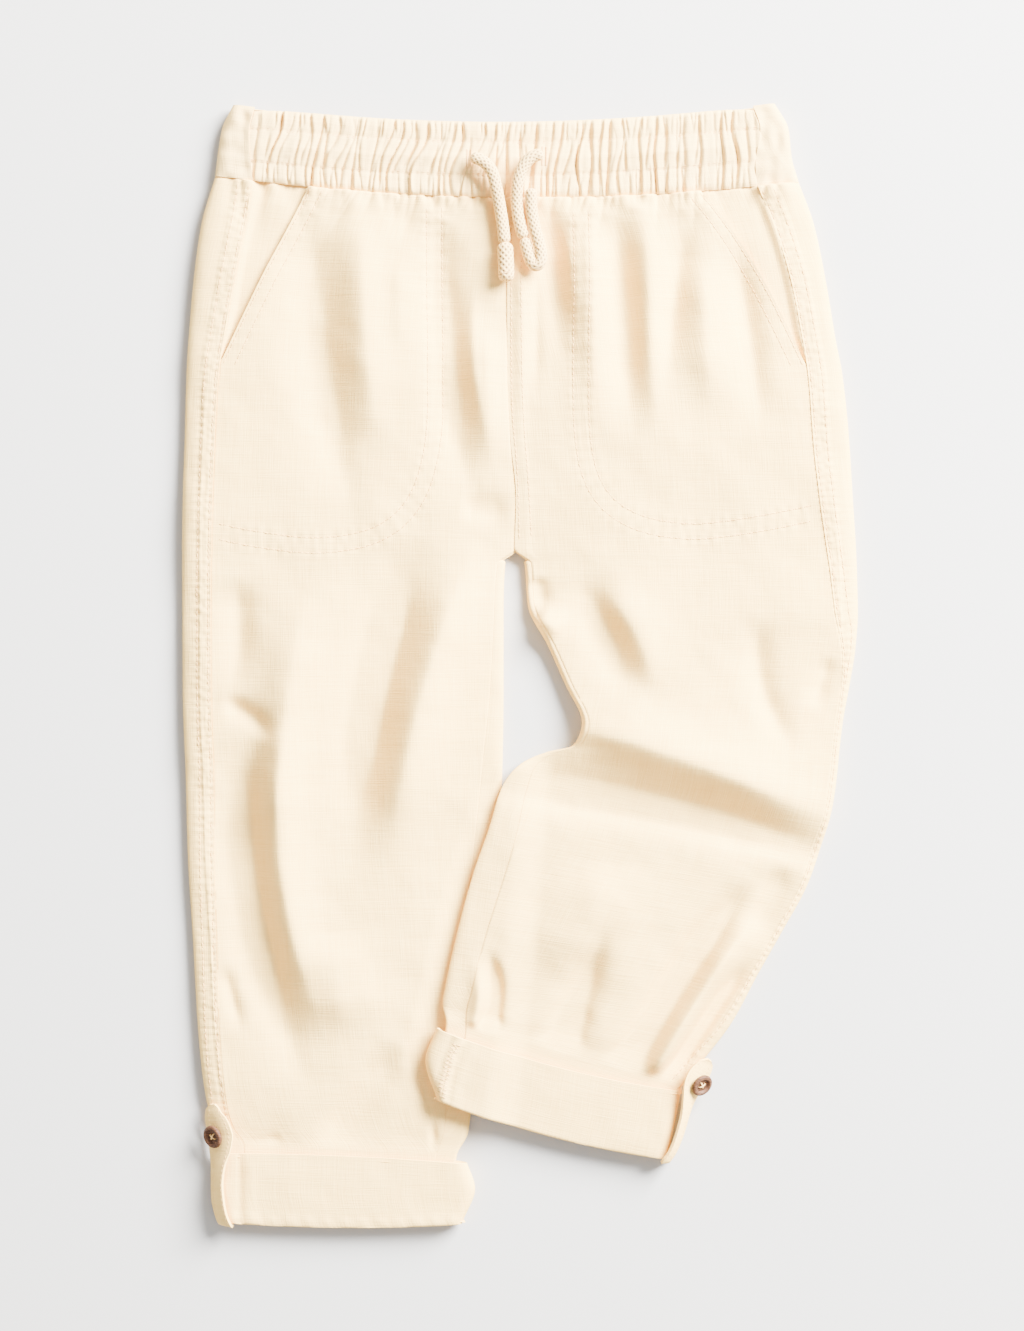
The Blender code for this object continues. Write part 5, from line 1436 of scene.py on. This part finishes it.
def sew(name, lines, trees, length=2.1, gap=0.75, thick=0.42, sink=0.06, first=0.4):
    """Stitches of thread along lines seen from above, joined into one piece."""
    points = []
    faces = []
    for line in lines:
        line = np.asarray(line, float)[:, :2]
        knots = run_along(line)
        for start in np.arange(first, knots[-1] - length, length + gap):
            ends = []
            for at in (start, start + length):
                x = np.interp(at, knots, line[:, 0])
                y = np.interp(at, knots, line[:, 1])
                ends.append(land(trees, x, y))
            if None in ends or abs(ends[0][0].z - ends[1][0].z) > STEEPEST_STITCH * MM:
                continue
            (a, normal_a), (b, normal_b) = ends
            up = (normal_a + normal_b).normalized()
            if up.z < 0.1:
                continue
            side = up.cross(b - a).normalized()
            axes = np.array([(b - a)[:], (side * thick * MM)[:], (up * thick * MM * 0.8)[:]])
            middle = np.array((a + b) / 2 + up * (thick * 0.4 - sink) * MM)
            base = sum(len(p) for p in points)
            points.append(stitch_points @ axes + middle)
            faces += [tuple(i + base for i in face) for face in stitch_faces]
    deselect()
    bpy.ops.mesh.primitive_plane_add(size=0.001)
    made = just_made(name)
    made.data.clear_geometry()
    made.data.from_pydata(np.concatenate(points).tolist(), [], faces)
    made.data.shade_smooth()
    return made


print("a stitch climbs", STEEPEST_STITCH, "mm at most")

# %% Sew the rows
sewn = []
hole_shade_flecks = []
for leg in (right_leg, left_leg):
    trees = cloth_below(panels[leg.side][:2])
    lines = [row.line for row in leg.rows]
    sewn.append(sew("stitching_" + leg.side, lines, trees))
    # Dark flecks at both ends of each stitch: painted shade in the needle holes.
    hole_shade_flecks.append(sew("painted_hole_shade_" + leg.side, lines, trees, length=0.5, gap=2.35,
                       thick=0.5, sink=0.16, first=2.58))
    print("stitching", leg.side, "faces:", len(sewn[-1].data.polygons))

trees = cloth_below([band_front])
ROW_PAIR = 0.022        # from the first row of a pair to the second
lines = []
share = np.linspace(0.05, 0.95, 120)
for row_depth in (ROW_HIGH, ROW_HIGH + ROW_PAIR, ROW_LOW, ROW_LOW - ROW_PAIR):
    x, y = band_place(share, np.full(120, row_depth))
    lines.append(np.stack([x, y], axis=-1))
sewn.append(sew("stitching_waistband", lines, trees, length=1.6, gap=0.9, thick=0.3))

for side, tab in (("right", RIGHT_TAB), ("left", LEFT_TAB)):
    trees = cloth_below([tabs[side]])
    rows = np.linspace(1.3, 11.0, 60)
    lines = []
    for share in (0.14, 0.86):
        points, _ = tab_frame(tab, rows, np.full(60, share))
        lines.append(points[:, :2])
    sewn.append(sew("stitching_tab_" + side, lines, trees, length=1.7, gap=0.7, thick=0.3))
print("sewn:", [piece.name for piece in sewn])

# %% [markdown]
# ## Buttonholes of the cord and the overlocked edge
# Two upright buttonholes let the cord out of the casing. Close, dense stitches
# run down both sides of a dark slit. The overlocked edge on the rolled hem is
# made the same way: close loops of thread over the edge of the cloth.

# %% Worked buttonholes
trees = cloth_below([band_front])
holes = []
for side, hole_x, high_y, low_y in (("right", -25.4, 256.4, 247.6),
                                    ("left", 11.9, 257.6, 248.4)):
    rungs = []
    for offset in (-1.0, 1.0):
        for y in np.arange(low_y, high_y, 0.55):
            rungs.append([(hole_x + offset - 0.75, y), (hole_x + offset + 0.75, y + 0.06)])
    holes.append(sew("buttonhole_" + side, rungs, trees, length=1.05, gap=0.2, thick=0.46,
                     sink=0.0))
print("buttonholes:", [piece.name for piece in holes])

# %% The overlocked seam allowance on the bent leg's rolled hem
edge = soft_line(OVERLOCK_EDGE, 30)
trees = cloth_below([cuffs["left"]])
away = right_of(edge)
loops = []
for k in range(1, len(edge) - 1):
    slant = 0.7 if k % 2 else -0.7
    spot = edge[k]
    down_edge = np.array([-away[k][1], away[k][0]])
    loops.append(np.array([spot - away[k] * 0.3 + down_edge * slant,
                           spot - away[k] * 5.2 - down_edge * slant]))
overlock = sew("overlocking_left", loops, trees, length=2.2, gap=0.1, thick=0.46, sink=0.0,
               first=0.1)
print("loops of overlocking:", len(loops))

# %% The bars of thread on the cord's ends
bars = [[(-10.2, y), (-3.6, y + 0.3)] for y in (193.6, 194.2)] + [[(6.4, 206.6), (11.0, 205.6)]]
tip_trees = cloth_below([cords["right"][1], cords["left"][1]])
bar_thread = sew("cord_bars", bars, tip_trees, length=1.6, gap=0.1, thick=0.5, sink=0.0)
print("bars of thread:", len(bars))

# %% [markdown]
# ## Linen
# Linen is woven over one and under one from uneven threads. Close up it shows
# fine crossing lines and here and there a thicker thread, called a slub. A node
# group makes both from the cloth's UV map, as a mask and a height, and each
# linen material uses it with its own colours. The seams and hems are the same
# cloth, so they use the same group.

# %% The weave


def noise(nodes, links, vector, scale, detail, distortion=0.0):
    """Noise with a scale of its own along each of the three ways."""
    stretch = nodes.new("ShaderNodeMapping")
    stretch.inputs["Scale"].default_value = scale
    links.new(vector, stretch.inputs["Vector"])
    node = nodes.new("ShaderNodeTexNoise")
    node.inputs["Scale"].default_value = 1.0
    node.inputs["Detail"].default_value = detail
    node.inputs["Distortion"].default_value = distortion
    links.new(stretch.outputs["Vector"], node.inputs["Vector"])
    return node.outputs["Fac"]


def math_node(nodes, links, operation, *values):
    """Blender's Math node, fed with numbers and with other nodes' outputs."""
    node = nodes.new("ShaderNodeMath")
    node.operation = operation
    for socket, value in zip(node.inputs, values):
        if isinstance(value, (int, float)):
            socket.default_value = value
        else:
            links.new(value, socket)
    return node.outputs[0]


def cloth_map(nodes):
    """The UV map that every piece of cloth and cord carries."""
    node = nodes.new("ShaderNodeUVMap")
    node.uv_map = "cloth"
    return node.outputs["UV"]


weave = bpy.data.node_groups.new("Linen weave", "ShaderNodeTree")
for name in ("Threads", "Slubs", "Height"):
    weave.interface.new_socket(name=name, in_out="OUTPUT", socket_type="NodeSocketFloat")
thread_scale = weave.interface.new_socket(name="Thread scale", in_out="INPUT",
                                          socket_type="NodeSocketFloat")
thread_scale.default_value = 1.0
nodes, links = weave.nodes, weave.links
entry = nodes.new("NodeGroupInput")
leave = nodes.new("NodeGroupOutput")
scaled = nodes.new("ShaderNodeVectorMath")
scaled.operation = "SCALE"
links.new(cloth_map(nodes), scaled.inputs[0])
links.new(entry.outputs["Thread scale"], scaled.inputs["Scale"])
sums = []
for fine, coarse, detail in ((1900.0, 70.0, 2.0), (620.0, 22.0, 3.0)):
    warp = noise(nodes, links, scaled.outputs[0], (fine, coarse, 1.0), detail)
    weft = noise(nodes, links, scaled.outputs[0], (coarse, fine, 1.0), detail)
    sums.append(math_node(nodes, links, "ADD", warp, weft))
threads, slubs = sums
links.new(math_node(nodes, links, "MULTIPLY_ADD", slubs, 0.6, threads), leave.inputs["Height"])
links.new(math_node(nodes, links, "MULTIPLY", threads, 0.5), leave.inputs["Threads"])
links.new(math_node(nodes, links, "MULTIPLY", slubs, 0.5), leave.inputs["Slubs"])
print("weave group nodes:", len(nodes))

# %% Two tones and a bump


def two_tones(nodes, links, mask, shader, dark, light, low=0.0, high=1.0):
    """Colours a material between two tones, by a mask."""
    ramp = nodes.new("ShaderNodeValToRGB")
    for element, place, tone in zip(ramp.color_ramp.elements, (low, high), (dark, light)):
        element.position = place
        element.color = (*tone, 1.0)
    links.new(mask, ramp.inputs["Fac"])
    links.new(ramp.outputs["Color"], shader.inputs["Base Color"])


def raise_up(nodes, links, height, shader, strength, distance):
    """Lets the light see a fine relief."""
    raised = nodes.new("ShaderNodeBump")
    raised.inputs["Strength"].default_value = strength
    raised.inputs["Distance"].default_value = distance
    links.new(height, raised.inputs["Height"])
    links.new(raised.outputs["Normal"], shader.inputs["Normal"])


def linen(name, light, dark):
    """A linen material: the colour between two close tones, by threads and slubs."""
    made, nodes, links, shader = new_material(name, 0.92, 0.12)
    cloth_weave = nodes.new("ShaderNodeGroup")
    cloth_weave.node_tree = weave
    mixed = math_node(nodes, links, "ADD", cloth_weave.outputs["Threads"],
                      cloth_weave.outputs["Slubs"])
    mask = math_node(nodes, links, "MULTIPLY", mixed, 0.5)
    two_tones(nodes, links, mask, shader, dark, light, 0.36, 0.64)
    raise_up(nodes, links, cloth_weave.outputs["Height"], shader, 0.6, 0.0003)
    return made


natural_linen = linen("natural linen", (0.985, 0.69, 0.235), (0.91, 0.585, 0.175))
# The waistband is the same linen; its darker, greyer copy is painted shade of its many gathers,
# over the weave's own two tones.
shaded_band_linen = linen("gathered linen", (0.94, 0.665, 0.25), (0.81, 0.54, 0.19))

print("linen:", natural_linen.name, "and", shaded_band_linen.name)

# %% [markdown]
# ## Cord, thread and coconut shell
# The shade between the cord's strands is painted into its colour, which follows the
# same two cosines as its shape. Sewing thread and coconut shell vary with noise, and
# the shade in a needle's hole is painted as a small dark fleck.

# %% Braided cotton
braided_cotton, nodes, links, shader = new_material("braided cotton", 0.95, 0.1)
cord_uv = cloth_map(nodes)
fibre = noise(nodes, links, cord_uv, (900.0, 900.0, 1.0), 3.0)
spread = nodes.new("ShaderNodeSeparateXYZ")
links.new(cord_uv, spread.inputs["Vector"])
turned = math_node(nodes, links, "MULTIPLY", spread.outputs["X"], STRANDS / (CORD_RADIUS * MM))
passed = math_node(nodes, links, "MULTIPLY", spread.outputs["Y"],
                   math.tau * STRANDS / (BRAID_LENGTH * MM))
one, other = (math_node(nodes, links, "COSINE", math_node(nodes, links, way, turned, passed))
              for way in ("ADD", "SUBTRACT"))
# Dark where the strands part: painted shade between the strands, mixed with the fibres' own uneven
# tone from the noise.
strand = math_node(nodes, links, "MULTIPLY", math_node(nodes, links, "MAXIMUM", one, other), 0.35)
two_tones(nodes, links, math_node(nodes, links, "ADD", strand, fibre), shader,
          (0.30, 0.17, 0.075), (0.86, 0.60, 0.235), 0.24, 0.62)
raise_up(nodes, links, fibre, shader, 0.4, 0.00015)

print("cord:", braided_cotton.name)

# %% Thread, needle holes and coconut shell


def flecked(name, gloss, scale, detail, distortion, dark, light, low=0.0, high=1.0):
    """A material between two tones, by noise that is fixed to the object."""
    made, nodes, links, shader = new_material(name, *gloss)
    place = nodes.new("ShaderNodeTexCoord").outputs["Object"]
    two_tones(nodes, links, noise(nodes, links, place, scale, detail, distortion), shader,
              dark, light, low, high)
    return made


sewing_thread = flecked("sewing thread", (0.7, 0.5), (1500.0, 1500.0, 1500.0), 2.0, 0.0,
                        (0.85, 0.50, 0.17), (0.96, 0.65, 0.26))
# Painted shade: the dark tones of the flecks in the needle holes.
shadowed_hole = flecked("shadowed needle hole", (1.0, 0.0), (300.0, 300.0, 300.0), 1.0, 0.0,
                        (0.42, 0.20, 0.06), (0.62, 0.33, 0.11))
coconut = flecked("coconut shell", (0.62, 0.2), (500.0, 2600.0, 500.0), 4.0, 0.6,
                  (0.022, 0.008, 0.004), (0.17, 0.075, 0.036), 0.32, 0.72)
print("materials:", len(bpy.data.materials))

# %% [markdown]
# ## Finish
# Each piece gets its material, and everything rides on the one body of the garment.

# %% Materials


def finish_piece(piece, material):
    """One material, and the garment's only body."""
    piece.data.materials.clear()
    piece.data.materials.append(material)
    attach(piece, "root")


for side in ("right", "left"):
    for piece in panels[side] + (cuffs[side], tabs[side]):
        finish_piece(piece, natural_linen)
    for piece in cords[side]:
        finish_piece(piece, braided_cotton)
    finish_piece(buttons[side][0], coconut)
    finish_piece(buttons[side][1], sewing_thread)
for piece in (band_front, band_back):
    finish_piece(piece, shaded_band_linen)
for piece in sewn + holes + [overlock, bar_thread]:
    finish_piece(piece, sewing_thread)
for piece in hole_shade_flecks:
    finish_piece(piece, shadowed_hole)
print("pieces of thread:", len(sewn + holes) + 2)

# %% The panels of each leg
for side in ("right", "left"):
    front, back, facing = panels[side]

print("cut sizes given for", 5 * len(panels) + 2, "pieces of linen")
